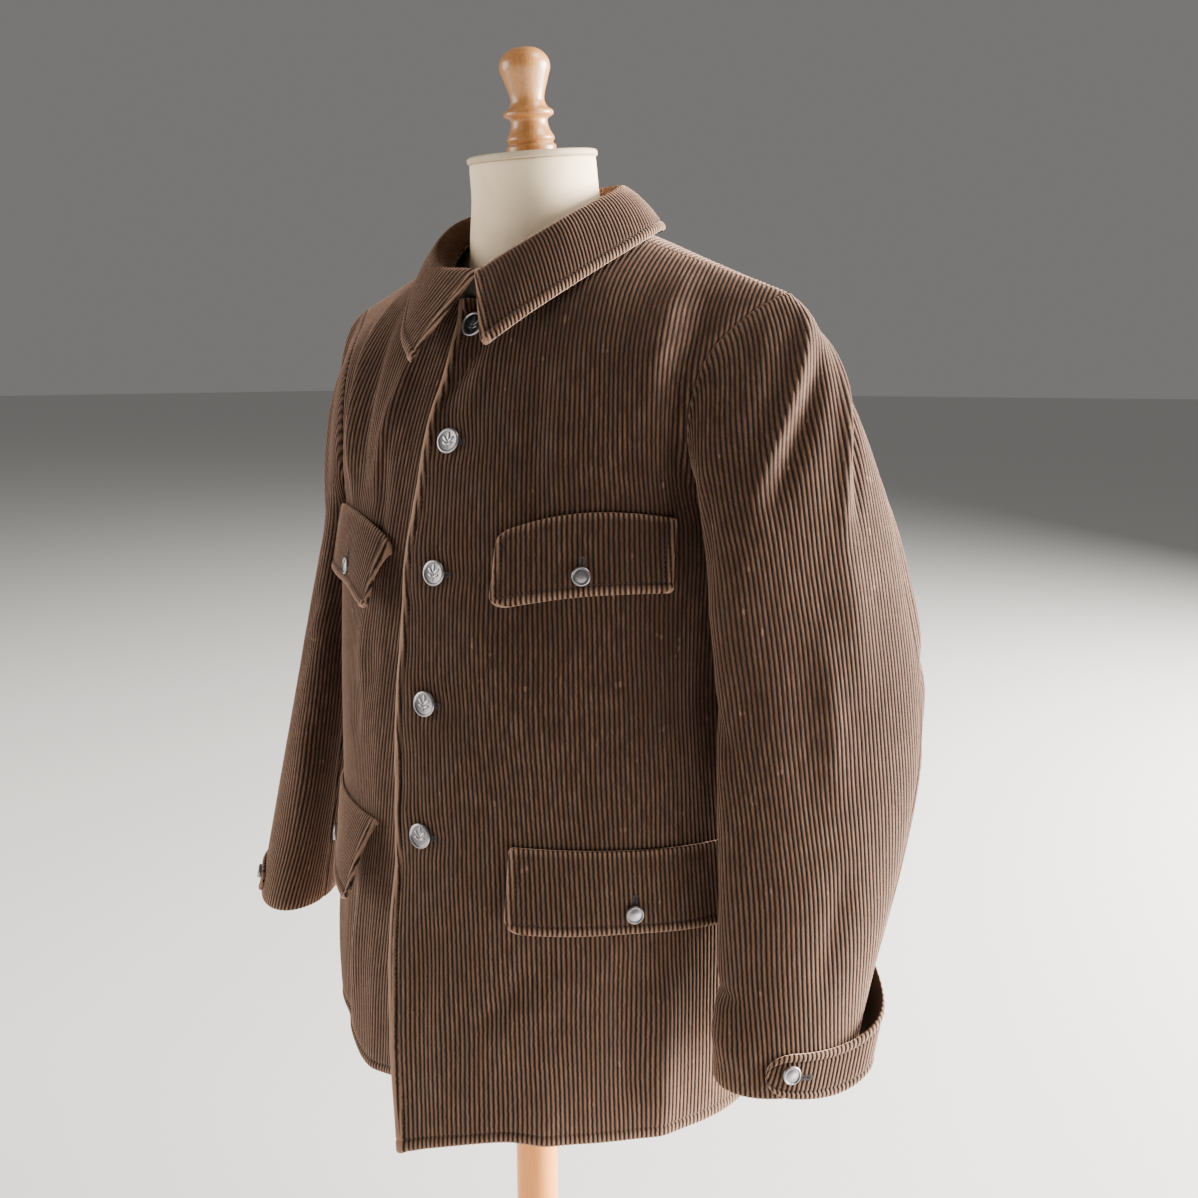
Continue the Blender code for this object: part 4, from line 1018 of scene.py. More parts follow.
# Heights and how far the left front's edge reaches past the centre line there.
LEFT_LAPS = (
    (0.430, 0.011), (0.515, 0.021), (0.604, 0.027), (0.655, 0.032),
    (0.717, 0.033), (0.780, 0.039), (0.836, 0.038), (0.950, 0.039),
    (1.010, 0.034), (1.063, 0.028), (1.120, 0.023), (1.160, 0.022),
)
LOOSE_STAND, LOOSE_WIDE, LOOSE_HEIGHTS = 0.008, 0.040, (0.58, 0.71)
PINCH_AT, PINCH_WIDE, PINCH_HIGH, PINCH_SHIFT = 0.006, 0.026, 0.013, 0.0030


def panel_rows(panel, run, corners):
    """Distances of a panel's rows from the hem, with rows at its corners too, and their shares."""
    along = np.append(rows_along(run[-1], ROW_STEP, HEM_STITCH), np.interp(corners, panel.shares, run))
    along = np.sort(along)
    return along, np.interp(along, run, panel.shares)


def to_side(panel, level, low, armpit):
    """Distances across a panel from its inner edge to its side seam and armhole."""
    high = np.interp(level, panel.shares, panel.high) + seam_reach(level, armpit)
    return low[:, None] + (high - low)[:, None] * np.linspace(0.0, 1.0, SAMPLES)


def pinch(across, heights):
    """Shift of the wales where each buttonhole is drawn towards its button."""
    drawn = sum(bell(heights - height, PINCH_HIGH) for height in FRONT_BUTTON_HEIGHTS)
    return PINCH_SHIFT * bell(across - PINCH_AT, PINCH_WIDE) * drawn


def front_cloth(over, hang, creases, lap_above):
    """Grid of a front; over is one for the wearer's left and minus one for the right."""
    along, level = panel_rows(FRONT, FRONT_RUN, NECK_SHARE + lap_above + np.array([0.0, NECK_STEP]))
    lap = level <= NECK_SHARE + lap_above + HAIR
    edge_heights = on_panel(FRONT, level, 0.0)[:, 2]
    reach = np.interp(edge_heights, *np.transpose(LEFT_LAPS)) if over > 0.0 else FRONT_LAP
    low = np.where(lap, -reach, np.interp(level, FRONT.shares, FRONT.low))
    across = to_side(FRONT, level, low, ARMPIT_ROW / FRONT_LAST)
    free = np.clip(1.0 - (across + FRONT_LAP) / EDGE_WIDTH, 0.0, 1.0) ** EDGE_POWER
    hung = level[:, None] - hang * free * np.maximum(1.0 - level / EDGE_TOP, 0.0)[:, None] ** 2
    lift = crease_heights(creases, across, along) * away_from_seams(across, along, low=False)
    if over < 0.0:
        under = 1.0 - ease(UNDERLAP_FULL, UNDERLAP_ENDS, across)
        lift = lift * (1.0 - under) - under * UNDERLAP_DEPTH
    else:
        loose = 1.0 - ease(*LOOSE_HEIGHTS, on_panel(FRONT, hung, across)[..., 2])
        lift = lift + LOOSE_STAND * loose * (1.0 - ease(0.0, LOOSE_WIDE, across + FRONT_LAP))
    points = level_hem(on_side(lifted(FRONT, hung, across, lift), over))
    edges = {"low": Edge("free", FRONT_STITCH), "high": SEAM}
    edges.update(bottom=Edge("free", HEM_STITCH), top=FLAT_SEAM)
    if over > 0.0:
        edges["low"] = Edge("rolled", FRONT_STITCH)
        across = across - pinch(across, points[..., 2])
    wales = wander(lean_grain(across, along, FRONT_GRAIN), along)
    return Cloth(points, wales, along, over, CLOTH_WALL, edges)


left_front_grid = front_cloth(1.0, LEFT_EDGE_SAG, LEFT_FRONT_CREASES, LEFT_LAP_ABOVE)
right_front_grid = front_cloth(-1.0, -RIGHT_EDGE_LIFT, RIGHT_FRONT_CREASES, RIGHT_LAP_ABOVE)
left_front = make_cloth("left_front", [left_front_grid], CLOTH_FINISH)
right_front = make_cloth("right_front", [right_front_grid], CLOTH_FINISH)
print("fronts:", len(left_front.data.polygons), len(right_front.data.polygons), "faces")

# %% Back
BACK_RUN = run_along(BACK, RUN_AT)
CENTRE_STRAIGHT = 0.03
BACK_CREASES = (
    (0.160, 0.640, 0.130, 0.440, 0.018, 0.0049),
    (0.185, 0.600, 0.165, 0.430, 0.013, -0.0042),
    (0.070, 0.680, 0.080, 0.500, 0.018, 0.0031),
    (0.090, 0.240, 0.110, 0.010, 0.026, 0.0056),
    (0.180, 0.260, 0.200, 0.020, 0.022, -0.0049),
    (0.060, 0.400, 0.180, 0.370, 0.016, -0.0028),
)
RIGHT_BACK_CREASES = (
    (0.150, 0.650, 0.145, 0.470, 0.016, 0.0042),
    (0.180, 0.580, 0.150, 0.400, 0.014, -0.0049),
    (0.050, 0.660, 0.065, 0.520, 0.016, 0.0025),
    (0.120, 0.220, 0.150, 0.010, 0.024, 0.0049),
    (0.050, 0.260, 0.045, 0.040, 0.022, -0.0042),
    (0.080, 0.420, 0.210, 0.350, 0.018, -0.0034),
)


def back_cloth(over, creases):
    """Grid of half the back."""
    along, level = panel_rows(BACK, BACK_RUN, [NAPE_SHARE])
    below = level <= NAPE_SHARE + HAIR
    low = np.where(below, 0.0, np.interp(level, BACK.shares, BACK.low))
    across = to_side(BACK, level, low, ARMPIT_ROW / BACK_LAST)
    lift = crease_heights(creases, across, along) * away_from_seams(across, along)
    points = lifted(BACK, level[:, None], across, lift, -1.0)
    points[below, 0, 0] = 0.0
    points = level_hem(on_side(points, over))
    edges = {"low": JOINED, "high": SEAM, "bottom": Edge("free", HEM_STITCH), "top": FLAT_SEAM}
    wales = across + (wander(across, along) - across) * ease(0.0, CENTRE_STRAIGHT, across)
    return Cloth(points, wales, along, -over, CLOTH_WALL, edges)


back_grids = [back_cloth(1.0, BACK_CREASES), back_cloth(-1.0, RIGHT_BACK_CREASES)]
back = make_cloth("back_panel", back_grids, CLOTH_FINISH)
print("back:", len(back.data.polygons), "faces")

# %% [markdown]
# ## Sleeves
# Each sleeve is cut in a top and an under half. From the armhole the cloth runs over the sleeve head
# to a flattened, hanging tube. A tube put on by itself would leave a gap at the armhole, so the rows
# start on the armhole's own line. The wales follow the middle of the under half. Those of the top half
# lean against its middle and stand more upright at the head. All run out at the seams.

# %% Sleeve sections
# Rings: centre x y z, half thickness, half width, turn of the outer face in degrees, slip of columns.
LEFT_RINGS = np.array((
    (0.285, 0.008, 0.950, 0.042, 0.098, -33, 0.00),
    (0.296, 0.018, 0.860, 0.043, 0.102, -35, 0.00),
    (0.300, 0.018, 0.770, 0.043, 0.102, -36, 0.00),
    (0.300, 0.004, 0.680, 0.042, 0.091, -36, 0.00),
    (0.296, -0.016, 0.590, 0.042, 0.077, -36, 0.00),
    (0.293, -0.032, 0.510, 0.044, 0.067, -36, 0.00),
))
RIGHT_RINGS = np.array((
    (0.272, 0.062, 0.930, 0.035, 0.087, -16, 0.05),
    (0.292, 0.055, 0.850, 0.038, 0.090, -21, 0.05),
    (0.308, 0.045, 0.770, 0.041, 0.093, -27, 0.03),
    (0.321, 0.026, 0.680, 0.041, 0.088, -31, 0.01),
    (0.330, 0.010, 0.600, 0.042, 0.082, -33, 0.00),
    (0.337, -0.002, 0.525, 0.044, 0.080, -33, 0.00),
))
# How the cloth leaves the armhole in eighths of a turn from the shoulder: direction and reach.
HEAD_LINES = np.array((
    (0.90, 0.00, -0.20, 0.25),
    (0.75, -0.20, -0.50, 0.25),
    (0.45, -0.30, -0.80, 0.25),
    (0.60, -0.20, -0.75, 0.30),
    (0.90, 0.00, -0.45, 0.35),
    (0.80, 0.15, -0.55, 0.30),
    (0.75, 0.30, -0.50, 0.25),
    (0.88, 0.15, -0.25, 0.25),
))
print("rings of a sleeve:", len(LEFT_RINGS))

# %% Sleeve maps
SLEEVE_HEAD, SLEEVE_SET_OFF = 0.40, 0.0010
HEAD_TO_RING, RING_PULL, RING_STEP = 0.5, 0.4, 0.02
SLEEVE_SHARES, SLEEVE_TURNS = np.linspace(0.0, 1.0, 161), np.linspace(-0.36, 0.86, 306)
TOP_START, TOP_END, UNDER_END = -4 / 24, 8 / 20, 1 - 4 / 24
SLEEVE_SEAM_SHARE = 0.0020


def round_section(rows, shares):
    """A closed table's values at shares of one turn."""
    place = np.mod(shares, 1.0) * len(rows)
    index = place.astype(int)
    around = [rows[(index + move) % len(rows)] for move in (-1, 0, 1, 2)]
    return smooth_step(*around, (place - index)[:, None])


def armhole_points(turns):
    """Armhole seam from the shoulder point down the front and up the back, one turn in all."""
    turn = np.mod(turns, 1.0)
    points = []
    for share in turn:
        if share < 0.5:
            armpit = ARMPIT_ROW / FRONT_LAST
            row = body_row(FRONT_ROWS, FRONT_NECK_ROW, 1.0 - share * 2.0 * (1.0 - armpit))
        else:
            armpit = ARMPIT_ROW / BACK_LAST
            row = body_row(BACK_ROWS, BACK_NECK_ROW, armpit + (share * 2.0 - 1.0) * (1.0 - armpit))
        points.append(row[3:6])
    return np.array(points)


def sleeve_ring(rings, share, turns):
    """Points round the flattened sleeve at a share of its rings."""
    x, y, z, half_thick, half_wide, degrees, slip = section(rings, share)
    turn = math.radians(degrees)
    outer = np.array([math.cos(turn), math.sin(turn), 0.0])
    fore = np.array([math.sin(turn), -math.cos(turn), 0.0])
    angle = (turns - slip) * 2.0 * math.pi
    thick = half_thick * np.cos(angle)[:, None] * outer
    return np.array([x, y, z]) + thick + half_wide * np.sin(angle)[:, None] * fore


def draw_sleeve(rings):
    """Map of a sleeve in the wearer's left over shares of its length and shares of a turn."""
    turns = SLEEVE_TURNS
    lines = round_section(HEAD_LINES, turns)
    start = armhole_points(turns) + np.array([SLEEVE_SET_OFF, 0.0, 0.0])
    end = sleeve_ring(rings, 0.0, turns)
    length = np.linalg.norm(end - start, axis=1, keepdims=True)
    away = unit(lines[:, :3] + HEAD_TO_RING * (end - start) / length)
    arrive = unit(sleeve_ring(rings, RING_STEP, turns) - end)
    second, third = start + away * lines[:, 3:] * length, end - arrive * length * RING_PULL
    points = []
    for share in SLEEVE_SHARES:
        if share > SLEEVE_HEAD:
            points.append(sleeve_ring(rings, (share - SLEEVE_HEAD) / (1.0 - SLEEVE_HEAD), turns))
        else:
            points.append(arc((start, second, third, end), share / SLEEVE_HEAD))
    return Panel(SLEEVE_SHARES, turns, np.array(points))


LEFT_SLEEVE, RIGHT_SLEEVE = draw_sleeve(LEFT_RINGS), draw_sleeve(RIGHT_RINGS)
SLEEVE_SIDES = (
    ("left", LEFT_SLEEVE, LEFT_RINGS, 1.0),
    ("right", RIGHT_SLEEVE, RIGHT_RINGS, -1.0),
)
print("sleeve maps drawn:", LEFT_SLEEVE.points.shape[:2])

# %% Creases and grain of the sleeves
LEFT_TOP_CREASES = (
    (-0.066, 0.020, 0.010, 0.168, 0.0075, 0.0080),
    (-0.070, 0.052, -0.006, 0.182, 0.010, -0.0072),
    (-0.030, 0.010, 0.030, 0.130, 0.016, 0.0039),
    (-0.094, 0.010, -0.074, 0.205, 0.0075, 0.0072),
    (-0.106, 0.050, -0.090, 0.200, 0.007, -0.0054),
    (-0.076, 0.165, -0.080, 0.340, 0.022, 0.0048),
    (0.040, 0.110, 0.052, 0.260, 0.013, -0.0045),
    (0.020, 0.190, 0.024, 0.330, 0.016, 0.0030),
    (-0.048, 0.260, -0.056, 0.430, 0.014, 0.0032),
    (-0.026, 0.280, -0.034, 0.440, 0.019, -0.0018),
    (0.070, 0.330, 0.020, 0.400, 0.010, -0.0033),
    (0.030, 0.440, 0.026, 0.570, 0.014, 0.0030),
    (0.082, 0.588, 0.010, 0.600, 0.0065, -0.0051),
    (0.070, 0.625, 0.000, 0.650, 0.018, 0.0045),
    (-0.070, 0.480, -0.050, 0.600, 0.014, -0.0033),
)
LEFT_UNDER_CREASES = (
    (0.060, 0.100, 0.045, 0.330, 0.012, 0.0056),
    (0.030, 0.180, 0.075, 0.260, 0.008, -0.0050),
    (0.020, 0.240, 0.070, 0.310, 0.009, -0.0042),
    (-0.010, 0.200, -0.030, 0.290, 0.012, 0.0039),
    (0.010, 0.350, 0.015, 0.540, 0.014, 0.0034),
)
RIGHT_TOP_CREASES = (
    (-0.070, -0.020, 0.000, 0.150, 0.009, 0.0068),
    (-0.084, 0.010, -0.016, 0.168, 0.010, -0.0062),
    (0.020, 0.030, 0.046, 0.190, 0.010, 0.0052),
    (0.004, 0.080, 0.030, 0.240, 0.010, -0.0042),
    (-0.080, 0.080, -0.072, 0.260, 0.012, 0.0047),
    (0.064, 0.290, 0.030, 0.350, 0.009, -0.0039),
    (0.070, 0.330, 0.016, 0.410, 0.010, -0.0034),
    (-0.036, 0.300, -0.044, 0.470, 0.013, 0.0034),
    (0.050, 0.430, 0.046, 0.590, 0.012, 0.0034),
    (-0.060, 0.470, -0.046, 0.600, 0.014, -0.0026),
)
RIGHT_UNDER_CREASES = (
    (0.054, 0.090, 0.050, 0.300, 0.012, 0.0047),
    (0.026, 0.190, 0.064, 0.280, 0.008, -0.0044),
    (-0.020, 0.210, -0.034, 0.300, 0.012, 0.0031),
    (0.004, 0.340, 0.012, 0.500, 0.014, 0.0026),
)
# Slope of the wales against the middle of the top half at distances from the armhole.
TOP_GRAIN = (
    (0.05, -0.04), (0.10, 0.07), (0.15, 0.13), (0.19, 0.13),
    (0.24, 0.03), (0.28, 0.02), (0.33, 0.08), (0.38, 0.12),
    (0.60, 0.12), (0.71, 0.10),
)
print("creases of the top halves:", len(LEFT_TOP_CREASES), len(RIGHT_TOP_CREASES))

# %% Sleeves
HEAD_LEAN, HEAD_REACH, HEAD_TURNS = 0.017, 0.12, (0.02, 0.22)
HEAD_CLEAR = (-0.006, 0.020)


def lean_head(across, along, turns):
    """Distances across a top half whose wales stand more upright at the head of the sleeve."""
    more = HEAD_LEAN * np.maximum(1.0 - along / HEAD_REACH, 0.0) ** 2
    return across + more[:, None] * (1.0 - ease(*HEAD_TURNS, turns))


def sleeve_cloth(panel, over, first, last, creases):
    """Grid of half a sleeve between two shares of a turn."""
    turns = np.linspace(first + SLEEVE_SEAM_SHARE, last - SLEEVE_SEAM_SHARE, SAMPLES)
    middle = float(turns[SAMPLES // 2])
    run = run_along(panel, middle)
    along = rows_along(run[-1], ROW_STEP)
    shares = np.interp(along, run, panel.shares)
    grid = shares[:, None], np.broadcast_to(turns, (len(shares), SAMPLES))
    across = measure_across(on_panel(panel, *grid), SAMPLES // 2)
    lift = crease_heights(creases, across, along) * away_from_seams(across, along)
    lift = lift * ease(*HEAD_CLEAR, along)[:, None]
    points = on_side(lifted(panel, *grid, lift), over)
    edges = {"low": SEAM, "high": SEAM, "bottom": SEAM, "top": FREE}
    if first == TOP_START:
        across = lean_grain(lean_head(across, along, turns), along, TOP_GRAIN)
    return Cloth(points, wander(across, along), along, over, CLOTH_WALL, edges)


sleeves = {}
for name, panel, over, creases in (
    ("left_top", LEFT_SLEEVE, 1.0, LEFT_TOP_CREASES),
    ("left_under", LEFT_SLEEVE, 1.0, LEFT_UNDER_CREASES),
    ("right_top", RIGHT_SLEEVE, -1.0, RIGHT_TOP_CREASES),
    ("right_under", RIGHT_SLEEVE, -1.0, RIGHT_UNDER_CREASES),
):
    first, last = (TOP_START, TOP_END) if name.endswith("top") else (TOP_END, UNDER_END)
    grid = sleeve_cloth(panel, over, first, last, creases)
    sleeves[name] = make_cloth(name + "_sleeve_half", [grid], CLOTH_FINISH), grid
    print(name, len(sleeves[name][0].data.polygons), "faces")

# %% [markdown]
# ## Collar
# The collar is one piece that stands up from the neckline, rolls over and falls to its points. Its
# wales run across its width, so here the rows go from the neckline to the free edge and the wales are
# counted along its length from the nape. Both halves are drawn alike. Then the far one is laid lower
# and its end is brought over, as it was worn.

# %% Shape of the collar
# Stations from the nape to the front end: roll line x y z and free edge x y z.
COLLAR_STATIONS = np.array((
    (-0.052, 0.075, 1.297, -0.083, 0.104, 1.2555),
    (0.000, 0.096, 1.299, 0.000, 0.144, 1.250),
    (0.052, 0.075, 1.297, 0.083, 0.104, 1.2555),
    (0.079, 0.024, 1.284, 0.121, 0.034, 1.247),
    (0.067, -0.036, 1.256, 0.099, -0.041, 1.208),
    (0.036, -0.074, 1.228, 0.067, -0.095, 1.171),
    (0.006, -0.089, 1.208, 0.040, -0.127, 1.142),
))
COLLAR_END, COLLAR_SET_IN = 0.965, 0.0020
COLLAR_ROLL, COLLAR_BULGE = 0.4, np.array([0.0, 0.0, 0.006])
STAND_AT, UPPER_AT, LOWER_AT = 0.5, 0.28, 0.64
NECK_POINTS, COLLAR_LINES = 21, 121
FAR_END_OVER, FAR_END_BACK, FAR_END_FROM = 0.015, 0.003, 0.80
FAR_TIP_SHARE, FAR_TIP_WIDTHS = 0.5, (0.55, 0.95)
# The far half lies lower than the near one: its roll beside the neck, its free edge at the point.
FAR_DROP = (0.003, -0.005, -0.014)
ROLL_DROP_RISES, ROLL_DROP_ENDS, ROLL_DROP_WIDTHS = (0.05, 0.40), (0.75, 1.0), (0.6, 1.0)
POINT_DROP_RISES, POINT_DROP_WIDTHS = (0.55, 0.85), (COLLAR_ROLL, 0.9)


def chain_neckline():
    """Points of half the neckline, from the nape over the shoulder seam to the front centre."""
    over_back = np.linspace(NAPE_SHARE, 1.0, NECK_POINTS)
    down_front = np.linspace(1.0, NECK_SHARE, NECK_POINTS)[1:]
    chain = [body_row(BACK_ROWS, BACK_NECK_ROW, share)[0:3] for share in over_back]
    chain += [body_row(FRONT_ROWS, FRONT_NECK_ROW, share)[0:3] for share in down_front]
    return np.array(chain)


NECK_CHAIN = chain_neckline()
NECK_RUN = run_lengths(NECK_CHAIN)


def collar_line(share, widths):
    """Folded collar at a share from nape to front end, from its neckline to its free edge."""
    last = len(COLLAR_STATIONS) - 1
    place = section(COLLAR_STATIONS, (1.0 + share * (last - 1)) / last)
    seam = between(share * COLLAR_END * NECK_RUN[-1], NECK_RUN, NECK_CHAIN)
    inward = unit(np.array([-seam[0], -seam[1], 0.0]))
    neck = seam + (inward + np.array([0.0, 0.0, 1.0])) * COLLAR_SET_IN
    roll, edge = place[0:3], place[3:6]
    stand = neck * (1.0 - STAND_AT) + roll * STAND_AT
    upper = roll * (1.0 - UPPER_AT) + edge * UPPER_AT + COLLAR_BULGE
    lower = roll * (1.0 - LOWER_AT) + edge * LOWER_AT + COLLAR_BULGE
    knots = np.array([2.0 * neck - stand, neck, stand, roll, upper, lower, edge, 2.0 * edge - lower])
    spot = widths * (len(knots) - 3)
    index = np.minimum(spot.astype(int), len(knots) - 4)
    around = [knots[index + move] for move in range(4)]
    return smooth_step(*around, (spot - index)[:, None])


def draw_collar():
    """Map of the whole collar over shares of its width and shares of its length from the nape."""
    widths, lengths = np.linspace(0.0, 1.0, COLLAR_LINES), np.linspace(0.0, 1.0, COLLAR_LINES)
    half = np.array([collar_line(share, widths) for share in lengths])
    over = np.array([-FAR_END_OVER, FAR_END_BACK, 0.0]) * ease(FAR_END_FROM, 1.0, lengths)[:, None]
    upper = (1.0 - FAR_TIP_SHARE * ease(*FAR_TIP_WIDTHS, widths))[None, :, None]
    beside = ease(*ROLL_DROP_RISES, lengths) * (1.0 - ease(*ROLL_DROP_ENDS, lengths))
    rolled = ease(0.0, COLLAR_ROLL, widths) * (1.0 - ease(*ROLL_DROP_WIDTHS, widths))
    drop = np.outer(beside, rolled)
    drop = drop + np.outer(ease(*POINT_DROP_RISES, lengths), ease(*POINT_DROP_WIDTHS, widths))
    far_half = half + over[:, None, :] * upper + drop[..., None] * np.array(FAR_DROP)
    whole = np.concatenate((far_half[:0:-1] * MIRROR, half))
    across = np.concatenate((-lengths[:0:-1], lengths))
    return Panel(widths, across, whole.transpose(1, 0, 2))


COLLAR = draw_collar()
print("collar map:", COLLAR.points.shape[:2])

# %% Collar
COLLAR_STITCH, COLLAR_ROW_STEP, COLLAR_SAMPLES = 0.0085, 0.004, 241
COLLAR_TIP, COLLAR_HALF, COLLAR_MIDDLE = 0.012, 0.36, 0.78
# Slope of the wales below the roll, at shares of the way from the nape to the front end.
COLLAR_GRAIN = ((0.0, 0.0), (0.22, -0.38), (0.42, -0.36), (0.62, -0.12), (0.78, 0.06), (0.92, 0.18))


def corner_inset(radius, distance):
    """How far an outline pulls in at a distance from a rounded corner's end."""
    inside = np.clip(radius - distance, 0.0, radius)
    return radius - np.sqrt(radius * radius - inside * inside)


def collar_cloth():
    """Grid of the collar."""
    run = run_along(COLLAR, 0.5)
    along = rows_along(run[-1], COLLAR_ROW_STEP, 0.0, COLLAR_STITCH)
    widths = np.interp(along, run, COLLAR.shares)
    inset = corner_inset(COLLAR_TIP, along[-1] - along)[:, None] / COLLAR_HALF
    lengths = np.linspace(-1.0, 1.0, COLLAR_SAMPLES)[None, :] * (1.0 - inset)
    points = on_panel(COLLAR, widths[:, None], lengths)
    wales = run_lengths(on_panel(COLLAR, COLLAR_MIDDLE, COLLAR.across))
    across = np.interp(lengths, COLLAR.across, wales - wales[-1] / 2.0)
    drop = np.maximum(along - np.interp(COLLAR_ROLL, COLLAR.shares, run), 0.0)
    lean = np.interp(np.abs(lengths), *np.array(COLLAR_GRAIN).T) * np.sign(lengths)
    across = across + lean * drop[:, None]
    edges = dict.fromkeys(("low", "high", "top"), Edge("free", COLLAR_STITCH))
    return Cloth(points, across, along, 1.0, CLOTH_WALL, {**edges, "bottom": SEAM})


collar_grid = collar_cloth()
collar = make_cloth("collar_cloth", [collar_grid], CLOTH_FINISH)
print("collar:", len(collar.data.polygons), "faces")

# %% [markdown]
# ## Pocket flaps
# The flaps are sewn on along their top edge and hang free below it. They are made from the front's
# own map, moved out, so they follow the body wherever they are put. Those on the wearer's right gape
# and curl at their inner edge.

# %% Sizes of the flaps
Flap = namedtuple(
    "Flap",
    "name inner outer top_inner top_outer bow drop swell stand_off button_up"
    " corner upper_corner outer_corner right_lower right_gape right_inwards",
)
CHEST_FLAP = Flap(
    "chest",
    inner=0.058, outer=0.211, top_inner=0.988, top_outer=1.020,
    bow=0.010, drop=0.065, swell=0.010, stand_off=0.006, button_up=0.016,
    corner=0.016, upper_corner=0.012, outer_corner=0.004,
    right_lower=0.014, right_gape=0.019, right_inwards=0.004,
)
HIP_FLAP = Flap(
    "hip",
    inner=0.084, outer=0.308, top_inner=0.717, top_outer=0.707,
    bow=0.000, drop=0.074, swell=0.002, stand_off=0.008, button_up=0.018,
    corner=0.014, upper_corner=0.004, outer_corner=0.014,
    right_lower=0.000, right_gape=0.024, right_inwards=0.026,
)
print("flap depths:", CHEST_FLAP.drop, HIP_FLAP.drop)

# %% Flaps
FLAP_WALL, FLAP_STITCH, FLAP_ROW_STEP = 0.0030, 0.0085, 0.004
FLAP_LEAN, FLAP_CURL, CURL_POWER = -0.10, 0.005, 0.6
HELD_SHARE, HELD_WIDTH, STAND_POWER, GAPE_POWER = 0.6, 0.22, 1.3, 0.7
SIDES = (("left", 1.0), ("right", -1.0))


def flap_points(flap, right, drop, columns):
    """Points of a flap in the wearer's left and its distances from the centre line."""
    inner = flap.inner - (flap.right_inwards if right else 0.0)
    width = flap.outer - inner
    inset = corner_inset(flap.corner, (1.0 - drop) * flap.drop) / width
    outset = corner_inset(flap.outer_corner, (1.0 - drop) * flap.drop) / width
    along = inset + columns * (1.0 - inset - outset)
    across = inner + along * width
    top = flap.top_inner - (flap.right_lower if right else 0.0)
    top = top + (flap.top_outer - flap.top_inner) * along
    top = top + flap.bow * 4.0 * along * (1.0 - along) * (1.0 - 0.5 * drop)
    top = top - corner_inset(flap.upper_corner, along * width) * (1.0 - drop)
    heights = top - drop * (flap.drop + flap.swell * along)
    held = 1.0 - HELD_SHARE * bell(along - 0.5, HELD_WIDTH)
    lift = 2.0 * SEAM_GAP + FLAP_WALL + flap.stand_off * drop**STAND_POWER * held
    if right:
        lift = lift + flap.right_gape * drop**GAPE_POWER * (1.0 - along) ** 3
        across = across + FLAP_CURL * np.sin(math.pi * drop**CURL_POWER) * (1.0 - along) ** 3
    share = front_share(heights)
    return lifted(FRONT, share, across, lift), across


def flap_cloth(flap, over):
    """Grid of one flap."""
    along = rows_along(flap.drop, FLAP_ROW_STEP, 0.0, FLAP_STITCH)
    drop = np.clip(along / flap.drop, 0.0, 1.0)[:, None]
    points, across = flap_points(flap, over < 0.0, drop, np.linspace(0.0, 1.0, SAMPLES)[None, :])
    edges = dict.fromkeys(("low", "high", "top"), Edge("free", FLAP_STITCH))
    wales = lean_grain(across, along, ((0.0, FLAP_LEAN), (flap.drop, FLAP_LEAN)))
    return Cloth(on_side(points, over), wales, along, -over, FLAP_WALL, {**edges, "bottom": FREE})


flaps = {}
for flap in (CHEST_FLAP, HIP_FLAP):
    for side, over in SIDES:
        name = flap.name + "_flap_" + side
        grid = flap_cloth(flap, over)
        flaps[name] = make_cloth(name + "_cloth", [grid], CLOTH_FINISH), grid
print("flaps:", list(flaps))

# %% [markdown]
# ## Cuff tabs
# A tab comes out of the sleeve's back seam, stands off it in a loop and buttons down on the outside. It
# could be a strip bent by itself, but drawn on the sleeve's map it keeps its place on the sleeve.

# %% Tabs
TAB_START, TAB_END = -0.27, 0.105
TAB_LOW, TAB_RISE, TAB_WIDTH, TAB_LENGTH, TAB_STAND_OFF = 0.004, 0.052, 0.042, 0.130, 0.013
TAB_STITCH, TAB_ROW_STEP, TAB_CLOSER = 0.0075, 0.003, 0.9
TAB_RISE_POWER, TAB_LOOP_AT, TAB_LOOP_WIDTH = 2.6, -0.17, 0.085
TAB_SAG, TAB_SAG_AT, TAB_SAG_REACH = 0.012, 0.45, 0.34
TAB_FLARE, TAB_FLARE_ENDS, TAB_ROOT, TAB_ROOT_ENDS = 0.014, 0.9, 0.030, 0.4


def tab_points(panel, rings, across, columns):
    """Points of a cuff tab in the wearer's left; columns run along it and across goes up its width."""
    turns = TAB_START + columns * (TAB_END - TAB_START)
    fall = (rings[0, 2] - rings[-1, 2]) / (1.0 - SLEEVE_HEAD)
    rounding = corner_inset(TAB_WIDTH / 2.0, (1.0 - columns) * TAB_LENGTH)
    deeper = TAB_FLARE * np.clip(1.0 - columns / TAB_FLARE_ENDS, 0.0, 1.0)
    deeper = deeper + TAB_ROOT * np.clip(1.0 - columns / TAB_ROOT_ENDS, 0.0, 1.0) ** 2
    heights = TAB_LOW + rounding - deeper + across * (TAB_WIDTH + deeper - 2.0 * rounding)
    heights = heights + TAB_RISE * (1.0 - columns) ** TAB_RISE_POWER
    heights = heights - TAB_SAG * bell(columns - TAB_SAG_AT, TAB_SAG_REACH)
    lift = 2.0 * SEAM_GAP + CLOTH_WALL + TAB_STAND_OFF * bell(turns - TAB_LOOP_AT, TAB_LOOP_WIDTH)
    share, turns = np.broadcast_arrays(1.0 - np.maximum(heights, 0.0) / fall, turns)
    points = lifted(panel, share, turns, lift)
    points[..., 2] += np.minimum(heights, 0.0)
    return points


